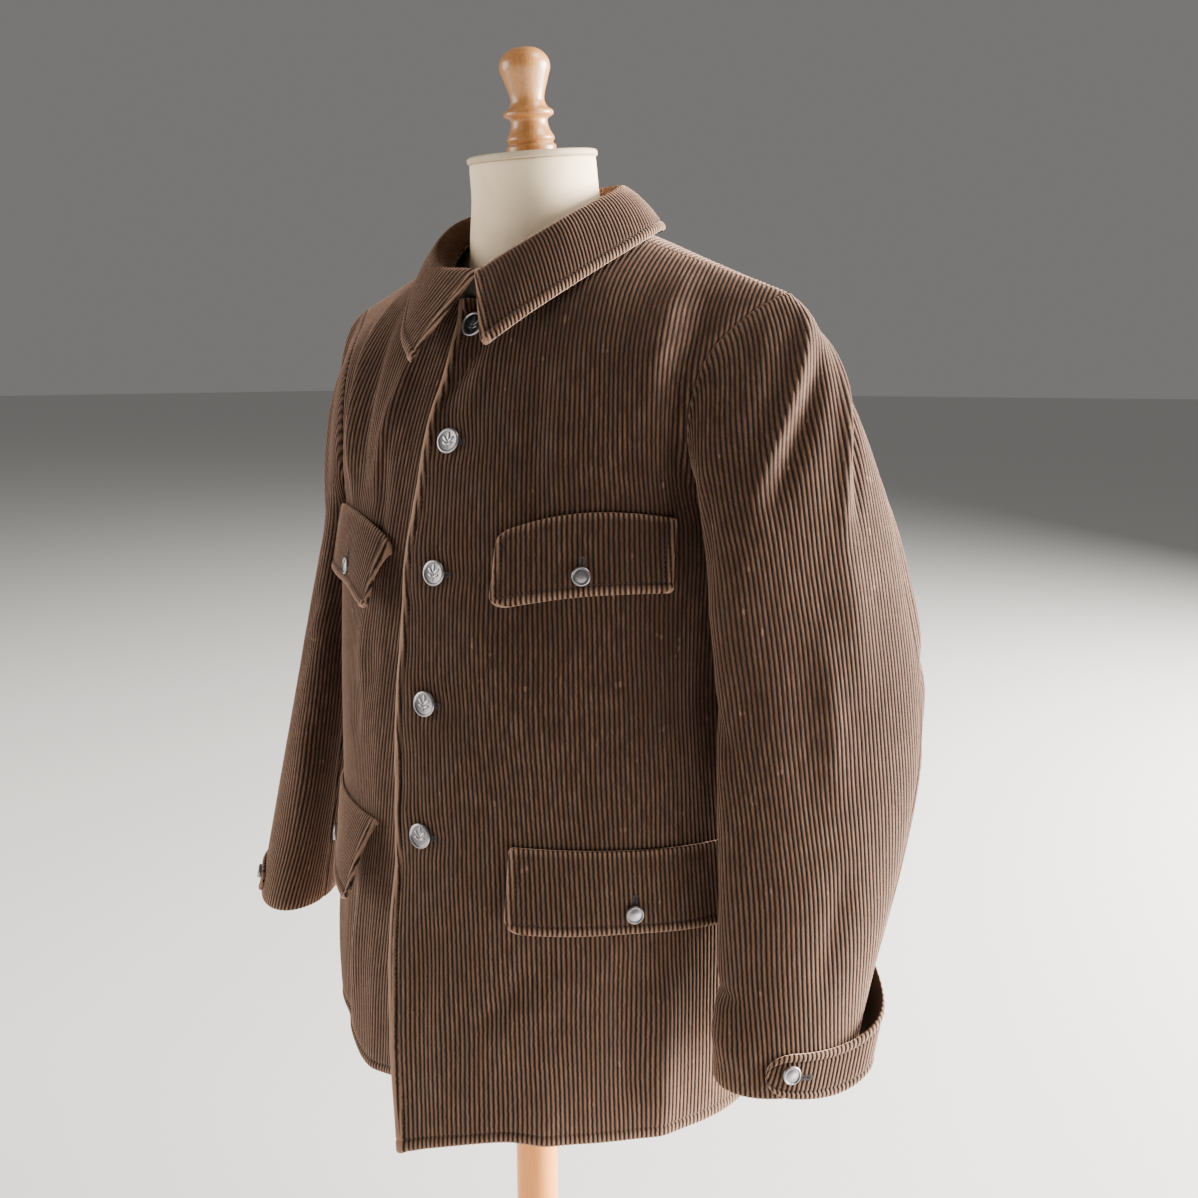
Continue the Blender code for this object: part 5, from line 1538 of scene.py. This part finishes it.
def tab_cloth(panel, rings, over):
    """Grid of one cuff tab."""
    along = rows_along(TAB_WIDTH, TAB_ROW_STEP, TAB_STITCH, TAB_STITCH)
    columns = np.sin(np.linspace(0.0, 0.5, SAMPLES) * math.pi) ** TAB_CLOSER
    points = tab_points(panel, rings, (along / TAB_WIDTH)[:, None], columns[None, :])
    across = measure_across(points, 0)
    edges = dict.fromkeys(("bottom", "top"), Edge("free", TAB_STITCH))
    edges.update(low=SEAM, high=FREE)
    return Cloth(on_side(points, over), across, along, -over, CLOTH_WALL, edges)


tabs = {}
for side, panel, rings, over in SLEEVE_SIDES:
    grid = tab_cloth(panel, rings, over)
    tabs["cuff_tab_" + side] = make_cloth("cuff_tab_" + side + "_cloth", [grid], CLOTH_FINISH), grid
print("tabs:", list(tabs))

# %% [markdown]
# ## Topstitching and buttonholes
# The seams and edges are stitched through, and each buttonhole is worked over with thread. There are
# well over a thousand stitches, so one stitch is modelled and its points are copied along the lines by
# arrays: separate objects for each would make the scene slow and teach nothing more.

# %% One stitch
ORIGIN = (0.0, 0.0, 0.0)
STITCH_FLAT = 0.9


def model_stitch():
    """Short rounded thread of unit length and thickness, a little flatter underneath."""
    bpy.ops.mesh.primitive_uv_sphere_add(segments=6, ring_count=6, radius=0.5)
    stitch = bpy.context.object
    edit(stitch)
    bpy.ops.transform.rotate(value=math.pi / 2.0, orient_axis="Y", center_override=ORIGIN)
    bpy.ops.transform.resize(value=(1.0, 1.0, STITCH_FLAT), center_override=ORIGIN)
    leave(stitch)
    return stitch


def read_shape(piece):
    """Points, faces and layout of a modelled piece, which is then removed."""
    mesh = piece.data
    points = np.array([vertex.co[:] for vertex in mesh.vertices])
    faces = [list(face.vertices) for face in mesh.polygons]
    layout = np.array([loop.uv[:] for loop in mesh.uv_layers[0].data])
    bpy.data.objects.remove(piece)
    return points, faces, layout


STITCH = read_shape(model_stitch())
print("stitch:", len(STITCH[0]), "points")

# %% Lines of stitches
CELL_MARGIN, CELL_FILLED = 0.05, 0.9
DARK_THREAD = 0.55


def edge_line(cloth, side, inset):
    """Points and outward directions of a line at a distance in from one edge of a piece."""
    both = np.concatenate((cloth.points, cloth_normals(cloth)), axis=2)
    if side in ("low", "high"):
        spots = cloth.across[:, 0] + inset if side == "low" else cloth.across[:, -1] - inset
        return np.array([between(spot, run, row) for spot, run, row in zip(spots, cloth.across, both)])
    level = cloth.along[0] + inset if side == "bottom" else cloth.along[-1] - inset
    return np.array([between(level, cloth.along, column) for column in both.transpose(1, 0, 2)])


def along_line(line, pitch, skip=0.0):
    """Places every so far along a line, with the directions ahead and outwards."""
    run = run_lengths(line[:, :3])
    spots = np.arange(skip + pitch / 2.0, run[-1] - skip, pitch)
    here = between(spots, run, line)
    ends = [between(spots + way * pitch / 2.0, run, line)[:, :3] for way in (-1.0, 1.0)]
    return here[:, :3], unit(ends[1] - ends[0]), unit(here[:, 3:])


def sew(name, lines, length, thick, material):
    """One mesh of stitches; each line gives places, directions ahead and directions outwards."""
    places, ahead, out = (np.concatenate(parts) for parts in zip(*lines))
    turns = np.stack((ahead * length, np.cross(out, ahead) * thick, out * thick), axis=1)
    points, faces, layout = STITCH
    laid = places[:, None, :] + np.einsum("pi,sij->spj", points, turns)
    numbers = np.arange(len(places))
    starts = numbers * len(points)
    copies = [[corner + start for corner in face] for start in starts for face in faces]
    mesh = new_mesh(name, laid.reshape(-1, 3), copies, [material])
    cells = math.ceil(math.sqrt(len(places)))
    corners = np.stack((numbers % cells, numbers // cells), 1)
    square = (corners[:, None, :] + CELL_MARGIN + CELL_FILLED * layout[None]) / cells
    add_layout(mesh, "OFBake", square)
    return link_new(name, mesh)


def build_thread(name, colour):
    """Matt cotton thread."""
    material, tree, shader = new_material(name)
    shade = noise(tree, object_place(tree), 900.0, 2.0)
    dark = tuple(channel * DARK_THREAD for channel in colour[:3]) + (1.0,)
    thread = mix_colours(tree, shade, dark, colour)
    fill(tree, shader, {"Base Color": thread, "Roughness": 0.75, "Sheen Weight": 0.2})
    return material


BROWN_THREAD = build_thread("brown_thread", (0.075, 0.042, 0.028, 1.0))
GREY_THREAD = build_thread("grey_thread", (0.060, 0.050, 0.056, 1.0))
print("threads:", BROWN_THREAD.name, GREY_THREAD.name)

# %% Topstitching
THREAD_STEP, STITCH_LENGTH, STITCH_THICK = 0.0042, 0.0030, 0.0007
STITCH_RISE, HEM_SKIP = 0.0002 - STITCH_DIP * 0.5, 0.004
stitched = [(left_front_grid, "low", FRONT_STITCH), (right_front_grid, "low", FRONT_STITCH)]
stitched += [(grid, "bottom", HEM_STITCH) for grid in (left_front_grid, right_front_grid, *back_grids)]
stitched += [(collar_grid, side, COLLAR_STITCH) for side in ("low", "high", "top")]
for _, grid in flaps.values():
    stitched += [(grid, side, FLAP_STITCH) for side in ("low", "high", "top")]
for _, grid in tabs.values():
    stitched += [(grid, side, TAB_STITCH) for side in ("bottom", "top")]
sewn = []
for grid, side, inset in stitched:
    skip = inset if side != "bottom" else HEM_SKIP
    places, ahead, out = along_line(edge_line(grid, side, inset), THREAD_STEP, skip)
    sewn.append((places + out * STITCH_RISE, ahead, out))
topstitching = sew("topstitching", sewn, STITCH_LENGTH, STITCH_THICK, BROWN_THREAD)
print("topstitches:", len(topstitching.data.vertices) // len(STITCH[0]))

# %% [markdown]
# ## Buttons
# The buttons are stamped metal: a raised rim round a sunk field. The five large ones carry a plain
# leaf sprig in low relief, the small ones a domed middle. One of each is modelled from a cone by
# insets that are moved up and down, and copied to the places where the solids have their buttons.

# %% Sizes of the buttons
FRONT_BUTTON_RADIUS, SMALL_BUTTON_RADIUS = 0.0115, 0.0082
BUTTON_THICKNESS, BUTTON_SIDES = 0.0036, 48
# Shares of the button's radius and thickness.
UNDERSIDE, BLANK_HEIGHT = 0.90, 0.72
LEAF_HEIGHT, LEAF_RISE = 0.16, 0.70
FIELD, FIELD_TOP, FIELD_DEPTH = 0.86, 0.80, 0.12
# Steps of the face from the edge inwards: inset and rise as shares of radius and thickness.
RIM_STEPS = ((0.03, 0.16), (0.05, 0.12), (0.05, 0.02), (0.04, -0.12), (0.03, -0.18), (0.05, -0.04))
DOME_STEPS = ((0.14, 0.06), (0.16, 0.12), (0.16, 0.08), (0.12, 0.03))
# Leaves of the sprig: place x y, half length, half width as shares of the radius, and heading.
SPRIG_LEAVES = (
    (0.00, 0.37, 0.34, 0.150, 90),
    (-0.28, 0.13, 0.33, 0.140, 138),
    (0.28, 0.13, 0.33, 0.140, 42),
    (-0.25, -0.22, 0.28, 0.120, 156),
    (0.25, -0.22, 0.28, 0.120, 24),
)
SPRIG_STEM = (0.0, -0.14, 0.52, 0.040, 90)
print("leaves of the sprig:", len(SPRIG_LEAVES))

# %% Button shapes


def model_button(radius, steps):
    """Rimmed button with its underside at height nought, facing up."""
    bpy.ops.object.select_all(action="DESELECT")
    bpy.ops.mesh.primitive_cone_add(
        vertices=BUTTON_SIDES,
        radius1=radius * UNDERSIDE,
        radius2=radius,
        depth=BUTTON_THICKNESS * BLANK_HEIGHT,
        location=(0.0, 0.0, BUTTON_THICKNESS * BLANK_HEIGHT / 2.0),
    )
    button = bpy.context.object
    bpy.ops.object.transform_apply()
    edit(button)
    bpy.ops.mesh.select_mode(type="FACE")
    bpy.ops.mesh.select_all(action="DESELECT")
    bpy.ops.object.mode_set(mode="OBJECT")
    for face in button.data.polygons:
        face.select = face.normal.z > 0.9
    bpy.ops.object.mode_set(mode="EDIT")
    for inset, rise in steps:
        bpy.ops.mesh.inset(thickness=radius * inset, depth=0.0)
        bpy.ops.transform.translate(value=(0.0, 0.0, BUTTON_THICKNESS * rise))
    bpy.ops.mesh.poke()
    leave(button)
    return button


def add_leaf(button, radius, leaf):
    """Pointed leaf in low relief on a button's field."""
    x, y, half_long, half_wide, heading = leaf
    edit(button)
    bpy.ops.mesh.select_all(action="DESELECT")
    bpy.ops.mesh.primitive_uv_sphere_add(segments=12, ring_count=8, radius=1.0)
    bpy.ops.transform.rotate(value=math.pi / 2.0, orient_axis="Y", center_override=ORIGIN)
    size = (radius * half_long, radius * half_wide, BUTTON_THICKNESS * LEAF_HEIGHT)
    bpy.ops.transform.resize(value=size, center_override=ORIGIN)
    turn = -math.radians(heading)
    bpy.ops.transform.rotate(value=turn, orient_axis="Z", center_override=ORIGIN)
    bpy.ops.transform.translate(value=(radius * x, radius * y, BUTTON_THICKNESS * LEAF_RISE))
    leave(button)


def read_button(button, radius):
    """Points and faces of a modelled button, and how sunk each point of its face is."""
    edit(button)
    bpy.ops.mesh.normals_make_consistent(inside=False)
    leave(button)
    points, faces, _ = read_shape(button)
    field = np.hypot(points[:, 0], points[:, 1]) < radius * FIELD
    sunk = np.clip((FIELD_TOP - points[:, 2] / BUTTON_THICKNESS) / FIELD_DEPTH, 0.0, 1.0) * field
    return points, faces, sunk


large_button = model_button(FRONT_BUTTON_RADIUS, RIM_STEPS)
for leaf in (*SPRIG_LEAVES, SPRIG_STEM):
    add_leaf(large_button, FRONT_BUTTON_RADIUS, leaf)
LARGE_BUTTON = read_button(large_button, FRONT_BUTTON_RADIUS)
small_button = model_button(SMALL_BUTTON_RADIUS, RIM_STEPS + DOME_STEPS)
SMALL_BUTTON = read_button(small_button, SMALL_BUTTON_RADIUS)
print("button points:", len(LARGE_BUTTON[0]), len(SMALL_BUTTON[0]))

# %% Button finish
METAL_DARK, METAL_LIGHT = (0.26, 0.245, 0.265, 1.0), (0.52, 0.50, 0.53, 1.0)
# Colour of the sunk field: patina and painted shade in the recess.
SUNK_PATINA_AND_SHADE = (0.10, 0.090, 0.095, 1.0)


def build_button_metal():
    """Grey white-metal, dull where it is handled less, its sunk field darkened as patina and painted
    shade.
    """
    material, tree, shader = new_material("button_metal")
    cloudy = noise(tree, object_place(tree), 260.0, 4.0)
    # How sunk each point is, read from the 'wear' numbers; the sunk field is darkened as patina and
    # painted shade.
    sunk = add_node(tree, "ShaderNodeAttribute", attribute_name="wear").outputs["Fac"]
    share = maths(tree, "MULTIPLY", sunk, maths(tree, "MULTIPLY_ADD", cloudy, 0.6, 0.20))
    metal = mix_colours(tree, cloudy, METAL_DARK, METAL_LIGHT)
    inputs = {
        "Base Color": mix_colours(tree, share, metal, SUNK_PATINA_AND_SHADE),
        "Roughness": maths(tree, "MULTIPLY_ADD", cloudy, 0.26, 0.24),
        "Metallic": 1.0,
    }
    fill(tree, shader, inputs)
    return material


BUTTON_METAL = build_button_metal()
print("button finish:", BUTTON_METAL.name)

# %% Seating a button and working its hole
BUTTON_SEAT, BUTTON_ANGLE = 0.0006, 50.0
HOLE_STEP, HOLE_REACH, HOLE_THICK = 0.0010, 0.0026, 0.0008
HOLE_RISE, HOLE_APART, BAR_LENGTH = 0.0007, 0.55, 1.6


def shade_by_angle(piece, degrees):
    """Smooth shading, with a sharp line where faces meet at more than an angle."""
    choose(piece)
    bpy.ops.object.shade_smooth_by_angle(angle=math.radians(degrees))
    piece.select_set(False)


def place_button(name, shape, point, facing):
    """Button with its own mesh, seated on the cloth at a point and facing outwards."""
    points, faces, sunk = shape
    turn = np.array(Vector(facing).to_track_quat("Z", "Y").to_matrix())
    seated = points @ turn.T + point + np.asarray(facing) * BUTTON_SEAT
    mesh = new_mesh(name + "_metal", seated, faces, [BUTTON_METAL])
    # A button's 'wear' numbers are how sunk its face is, which its finish darkens as patina and painted
    # shade.
    add_wear(mesh, sunk)
    button = link_new(name + "_metal", mesh)
    shade_by_angle(button, BUTTON_ANGLE)
    return button


def place_small_button(name, facing):
    """Small button whose middle lies where its solid has it."""
    middle = np.mean(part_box(name), axis=0)
    seat = middle - facing * (BUTTON_THICKNESS / 2.0 + BUTTON_SEAT)
    return place_button(name, SMALL_BUTTON, seat, facing)


def slit(points, out):
    """Stitches worked round a buttonhole that follows a line of points."""
    line = np.concatenate((points, np.broadcast_to(out, points.shape)), axis=1)
    places, ahead, facing = along_line(line, HOLE_STEP)
    aside = unit(np.cross(facing, ahead))
    raised = places + facing * HOLE_RISE
    reach = HOLE_REACH * HOLE_APART
    sides = [(raised + aside * way * reach, aside, facing) for way in (-1.0, 1.0)]
    bars = np.array([0, -1])
    sides.append((raised[bars], aside[bars] * BAR_LENGTH, facing[bars]))
    return [np.concatenate(parts) for parts in zip(*sides)]


print("buttonhole stitches every", HOLE_STEP * 1000, "mm")

# %% Buttons and buttonholes
# Where each hole runs and where the cloth's direction is taken, as shares of the flap or the tab.
FRONT_HOLE = np.linspace(-0.003, 0.0165, 18)
FLAP_HOLE = np.linspace(0.05, -0.23, 20)[:, None]
FLAP_MIDDLE, FLAP_ENDS = np.array([[0.5]]), np.array([[0.49, 0.51]])
TAB_HOLE, TAB_BUTTON = np.linspace(0.88, 0.74, 20)[None, :], np.array([[0.86]])
TAB_MIDDLE, TAB_WIDTHS = np.full((1, 20), 0.5), np.array([[0.3], [0.7]])
buttons, holes = {}, []
for number, height in enumerate(FRONT_BUTTON_HEIGHTS, 1):
    name = f"front_button_{number}"
    share = float(front_share(height))
    facing = panel_normals(FRONT, share, np.float64(0.0), 1.0)
    buttons[name] = place_button(name, LARGE_BUTTON, on_panel(FRONT, share, 0.0), facing)
    holes.append(slit(on_panel(FRONT, share, FRONT_HOLE), facing))
for flap in (CHEST_FLAP, HIP_FLAP):
    for side, over in SIDES:
        name = f"{flap.name}_button_{side}"
        level = 1.0 - flap.button_up / flap.drop
        upward = flap_points(flap, over < 0.0, level + FLAP_HOLE, FLAP_MIDDLE)[0][:, 0]
        ends = flap_points(flap, over < 0.0, np.array([[level]]), FLAP_ENDS)[0][0]
        facing = on_side(unit(np.cross(ends[1] - ends[0], upward[-1] - upward[0])), over)
        buttons[name] = place_small_button(name, facing)
        holes.append(slit(on_side(upward, over), facing))
for side, panel, rings, over in SLEEVE_SIDES:
    name = "cuff_button_" + side
    run = tab_points(panel, rings, TAB_MIDDLE, TAB_HOLE)[0]
    widths = tab_points(panel, rings, TAB_WIDTHS, TAB_BUTTON)[:, 0]
    facing = on_side(unit(np.cross(widths[1] - widths[0], run[0] - run[-1])), over)
    buttons[name] = place_small_button(name, facing)
    holes.append(slit(on_side(run, over), facing))
buttonholes = sew("buttonholes", holes, HOLE_REACH, HOLE_THICK, GREY_THREAD)
print("buttons:", len(buttons), "buttonhole stitches:", len(buttonholes.data.vertices) // len(STITCH[0]))

# %% [markdown]
# ## Dress form and stand
# Under the jacket is a linen-covered form with a neck plate and a turned finial, on a wooden pole.
# Turned pieces are drawn up from a ring: the ring is extruded to the next height and scaled to the
# next radius, which is what a lathe does with a profile. The form keeps its solid's own shape.

# %% Profiles for turning
PLATE_RADIUS, PLATE_THICKNESS, PLATE_ROUND = 0.0605, 0.006, 0.0015
POLE_RADIUS, POLE_FOOT, POLE_MIDDLE, POLE_TOP = 0.0222, 0.0903, 0.30, 0.5597
# Radius and height from the foot up.
FINIAL_PROFILE = (
    (0.0230, 0.0000), (0.0230, 0.0060), (0.0205, 0.0090), (0.0222, 0.0130),
    (0.0180, 0.0210), (0.0172, 0.0290), (0.0225, 0.0325), (0.0225, 0.0360),
    (0.0180, 0.0395), (0.0155, 0.0450), (0.0165, 0.0520), (0.0205, 0.0640),
    (0.0232, 0.0735), (0.0205, 0.0820), (0.0120, 0.0885), (0.0010, 0.0900),
)
PLATE_PROFILE = (
    (PLATE_RADIUS - PLATE_ROUND, 0.0),
    (PLATE_RADIUS, PLATE_ROUND),
    (PLATE_RADIUS, PLATE_THICKNESS - PLATE_ROUND),
    (PLATE_RADIUS - PLATE_ROUND, PLATE_THICKNESS),
    (PLATE_RADIUS - 4.0 * PLATE_ROUND, PLATE_THICKNESS),
)
POLE_PROFILE = [(POLE_RADIUS, height) for height in (POLE_FOOT, POLE_MIDDLE, POLE_TOP)]
BASE_PROFILE = (
    (0.184, 0.000), (0.190, 0.006), (0.190, 0.024), (0.182, 0.034),
    (0.160, 0.040), (0.100, 0.046), (0.052, 0.054), (0.038, 0.066),
    (0.038, 0.084), (0.034, 0.090),
)
# Radius and distance along the leaning neck from where it rises out of the chest to its top.
NECK_PROFILE = (
    (0.0740, -0.112), (0.0680, -0.090), (0.0645, -0.062), (0.0598, -0.031),
    (0.0588, -0.004), (0.0580, -0.0002),
)
print("heights in the finial's profile:", len(FINIAL_PROFILE))

# %% Turned pieces
NECK_LEAN, NECK_TOP = math.radians(8.0), Vector((0.0, 0.011, 1.314))
TOUCH, TURNED_ANGLE = 0.0003, 35.0


def round_profile(profile, steps):
    """Profile with more points, on a smooth curve through the given ones."""
    rows = np.array(profile)
    shares = np.linspace(0.0, 1.0, (len(rows) - 1) * steps + 1)
    return [tuple(section(rows, share)) for share in shares]


def turn_piece(name, profile, sides):
    """Turned piece that stands on the origin's axis."""
    bpy.ops.object.select_all(action="DESELECT")
    radius, height = profile[0]
    bpy.ops.mesh.primitive_circle_add(
        vertices=sides, radius=radius, fill_type="NGON", location=(0.0, 0.0, height)
    )
    piece = bpy.context.object
    piece.name = name
    bpy.ops.object.transform_apply()
    edit(piece)
    for next_radius, next_height in profile[1:]:
        rise = (0.0, 0.0, next_height - height)
        bpy.ops.mesh.extrude_region_move(TRANSFORM_OT_translate={"value": rise})
        wider = next_radius / radius
        bpy.ops.transform.resize(value=(wider, wider, 1.0), center_override=(0.0, 0.0, next_height))
        radius, height = next_radius, next_height
    bpy.ops.mesh.select_all(action="SELECT")
    bpy.ops.mesh.normals_make_consistent(inside=False)
    leave(piece)
    shade_by_angle(piece, TURNED_ANGLE)
    return piece


def lean_on_neck(piece, above):
    """A turned piece put on the leaning neck."""
    lean = Matrix.Rotation(NECK_LEAN, 4, "X")
    piece.data.transform(Matrix.Translation(NECK_TOP) @ lean @ Matrix.Translation((0.0, 0.0, above)))


finial = turn_piece("turned_finial", round_profile(FINIAL_PROFILE, steps=4), sides=48)
lean_on_neck(finial, PLATE_THICKNESS + 2.0 * TOUCH)
plate = turn_piece("turned_plate", PLATE_PROFILE, sides=56)
lean_on_neck(plate, TOUCH)
pole = turn_piece("turned_pole", POLE_PROFILE, sides=40)
foot = turn_piece("turned_base", round_profile(BASE_PROFILE, steps=3), sides=72)
print("turned pieces:", [piece.name for piece in (finial, plate, pole, foot)])

# %% Form
JOIN_REACH, FORM_ANGLE = 0.00001, 50.0


def smooth_form():
    """Copy of the form's solid with its points joined and its facets smoothed."""
    form = link_new("linen_form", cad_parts["form_torso"].data.copy())
    edit(form)
    bpy.ops.mesh.remove_doubles(threshold=JOIN_REACH)
    bpy.ops.mesh.tris_convert_to_quads()
    bpy.ops.mesh.normals_make_consistent(inside=False)
    leave(form)
    shade_by_angle(form, FORM_ANGLE)
    form.data.materials.clear()
    return form


form = smooth_form()
neck = turn_piece("linen_neck", round_profile(NECK_PROFILE, steps=3), sides=64)
lean_on_neck(neck, 0.0)
print("form:", len(form.data.polygons), "faces")

# %% Linen and wood
WARP_THREADS, WEFT_PER_METRE = 520.0, 8200.0
LINEN_DARK, LINEN_LIGHT = (0.95, 0.71, 0.47, 1.0), (0.99, 0.82, 0.58, 1.0)
LINEN_STAIN = (0.46, 0.33, 0.21, 1.0)


def build_linen():
    """Unbleached linen: a plain weave with uneven threads and faint brown stains."""
    material, tree, shader = new_material("linen")
    place = object_place(tree)
    aside, behind, height = axes(tree, place)
    around = maths(tree, "ARCTAN2", aside, maths(tree, "MULTIPLY", behind, -1.0))
    warp = maths(tree, "SINE", maths(tree, "MULTIPLY", around, WARP_THREADS))
    weft = maths(tree, "SINE", maths(tree, "MULTIPLY", height, WEFT_PER_METRE))
    weave = maths(tree, "MULTIPLY_ADD", maths(tree, "MULTIPLY", warp, weft), 0.5, 0.5)
    uneven = noise(tree, place, 420.0, 3.0)
    weave = maths(tree, "MULTIPLY_ADD", uneven, 0.7, maths(tree, "MULTIPLY", weave, 0.5))
    stains = spread(tree, noise(tree, place, 17.0, 4.0), 0.48, 0.78)
    cloth = mix_colours(tree, weave, LINEN_DARK, LINEN_LIGHT)
    cloth = mix_colours(tree, maths(tree, "MULTIPLY", stains, 0.4), cloth, LINEN_STAIN)
    normal = bumps(tree, weave, 0.25, 0.0003)
    fill(tree, shader, {"Base Color": cloth, "Normal": normal, "Roughness": 0.85})
    return material


def build_grain_group():
    """Wood grain along the height: fine dark lines in a slowly changing tone."""
    inputs = (("Light", "Color", (0.5, 0.3, 0.1, 1.0)), ("Dark", "Color", (0.3, 0.15, 0.05, 1.0)))
    tree, given, made = new_group("wood_grain", inputs, (("Colour", "Color"), ("Lines", "Float")))
    stretched = stretch(tree, object_place(tree), (1.0, 1.0, 0.06))
    lines = noise(tree, stretched, 520.0, 4.0, 0.65)
    broad = maths(tree, "MULTIPLY", noise(tree, stretched, 60.0, 3.0), 0.5)
    share = maths(tree, "MULTIPLY_ADD", spread(tree, lines, 0.35, 0.7), 0.6, broad)
    grain = mix_colours(tree, share, given.outputs["Dark"], given.outputs["Light"])
    fill(tree, made, {"Colour": grain, "Lines": lines})
    return tree


GRAIN = build_grain_group()


def build_wood(name, light, dark, roughness, coat):
    """Turned wood in two tones, oiled or varnished."""
    material, tree, shader = new_material(name)
    grain = add_node(tree, "ShaderNodeGroup", {"Light": light, "Dark": dark}, node_tree=GRAIN)
    inputs = {
        "Base Color": grain.outputs["Colour"],
        "Normal": bumps(tree, grain.outputs["Lines"], 0.15, 0.0003),
        "Roughness": roughness,
        "Coat Weight": coat,
        "Coat Roughness": 0.18,
    }
    fill(tree, shader, inputs)
    return material


LINEN = build_linen()
FINIAL_WOOD = build_wood("finial_wood", (0.60, 0.28, 0.09, 1.0), (0.32, 0.12, 0.035, 1.0), 0.38, 0.45)
PLATE_WOOD = build_wood("plate_wood", (0.66, 0.54, 0.38, 1.0), (0.50, 0.38, 0.25, 1.0), 0.7, 0.0)
POLE_WOOD = build_wood("pole_wood", (0.98, 0.37, 0.065, 1.0), (0.82, 0.27, 0.045, 1.0), 0.45, 0.15)
for piece, material in (
    (form, LINEN),
    (neck, LINEN),
    (finial, FINIAL_WOOD),
    (plate, PLATE_WOOD),
    (pole, POLE_WOOD),
    (foot, POLE_WOOD),
):
    piece.data.materials.append(material)
    print(piece.name, "has the finish", material.name)

# %% [markdown]
# ## Floor and light
# A pale floor, a pale surround and soft lamps that are a little warm. The strongest stands at the right
# and a little behind, so that the nap lights up along the edges. A weak one at the left and small ones
# low in front and above open the shadows.

# %% Floor and surround
FLOOR_SIZE, FLOOR_DROP, FLOOR_COLOUR = 120.0, 0.0005, (0.74, 0.74, 0.73, 1.0)
SURROUND_COLOUR, SURROUND_STRENGTH = (0.86, 0.84, 0.81, 1.0), 0.22


def build_studio():
    """Floor and surround."""
    bpy.ops.mesh.primitive_plane_add(size=FLOOR_SIZE, location=(0.0, 0.0, -FLOOR_DROP))
    floor = bpy.context.object
    floor.name = "floor"
    material, tree, shader = new_material("floor_paint")
    fill(tree, shader, {"Base Color": FLOOR_COLOUR, "Roughness": 0.8})
    floor.data.materials.append(material)
    world = bpy.data.worlds.new("surround")
    bpy.context.scene.world = world
    world.use_nodes = True
    background = world.node_tree.nodes["Background"]
    fill(world.node_tree, background, {"Color": SURROUND_COLOUR, "Strength": SURROUND_STRENGTH})
    return floor


floor = build_studio()
print("floor:", floor.name)

# %% Lamps
LAMP_COLOUR = (1.0, 0.955, 0.885)
Lamp = namedtuple("Lamp", "name aside ahead up aim size power")
LAMPS = (
    Lamp("key", 4.6, 0.5, 1.70, 0.85, 2.6, 2200.0),
    Lamp("window", -4.4, 0.4, 1.7, 0.95, 2.8, 184.0),
    Lamp("front", 0.9, -0.85, 0.18, 0.56, 0.5, 4.2),
    Lamp("above", 1.2, -0.3, 3.0, 1.25, 0.8, 38.0),
)


def place_lamp(lamp):
    """Soft square lamp placed from the camera's point of view and aimed at a height of the jacket."""
    light = bpy.data.lights.new(lamp.name, "AREA")
    light.size = lamp.size
    light.energy = lamp.power
    light.color = LAMP_COLOUR
    made = link_new(lamp.name, light)
    made.location = SIDEWAYS * lamp.aside + AHEAD * lamp.ahead + UPWARDS * lamp.up
    aim = UPWARDS * lamp.aim - made.location
    made.rotation_euler = aim.to_track_quat("-Z", "Y").to_euler()


for lamp in LAMPS:
    place_lamp(lamp)
print("lamps:", len(LAMPS))

# %% [markdown]
# ## Riding on the solids
# Each piece of cloth stands for its solid: it rides on the jacket's one body, and the solid is hidden.

# %% Cloth stands for its solids


def declare_cloth(piece, node):
    """Piece of cloth that rides on the jacket's one body."""
    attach(piece, "root")
    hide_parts(node)


declare_cloth(left_front, "front_left")
declare_cloth(right_front, "front_right")
declare_cloth(back, "back")
for name, (piece, grid) in sleeves.items():
    declare_cloth(piece, name + "_sleeve")
declare_cloth(collar, "collar")
for name, (piece, grid) in {**flaps, **tabs}.items():
    declare_cloth(piece, name)

# %% Hard pieces stand for theirs


def declare_hard(piece, node):
    """Hard piece that rides on the jacket's one body in place of its solid."""
    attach(piece, "root")
    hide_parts(node)


for name, button in buttons.items():
    declare_hard(button, name)
declare_hard(form, "form_torso")
declare_hard(plate, "neck_plate")
declare_hard(finial, "finial")
declare_hard(pole, "pole")
declare_hard(foot, "base")
for extra in (neck, topstitching, buttonholes):
    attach(extra, "root")
print("hard pieces:", len(buttons) + 5)
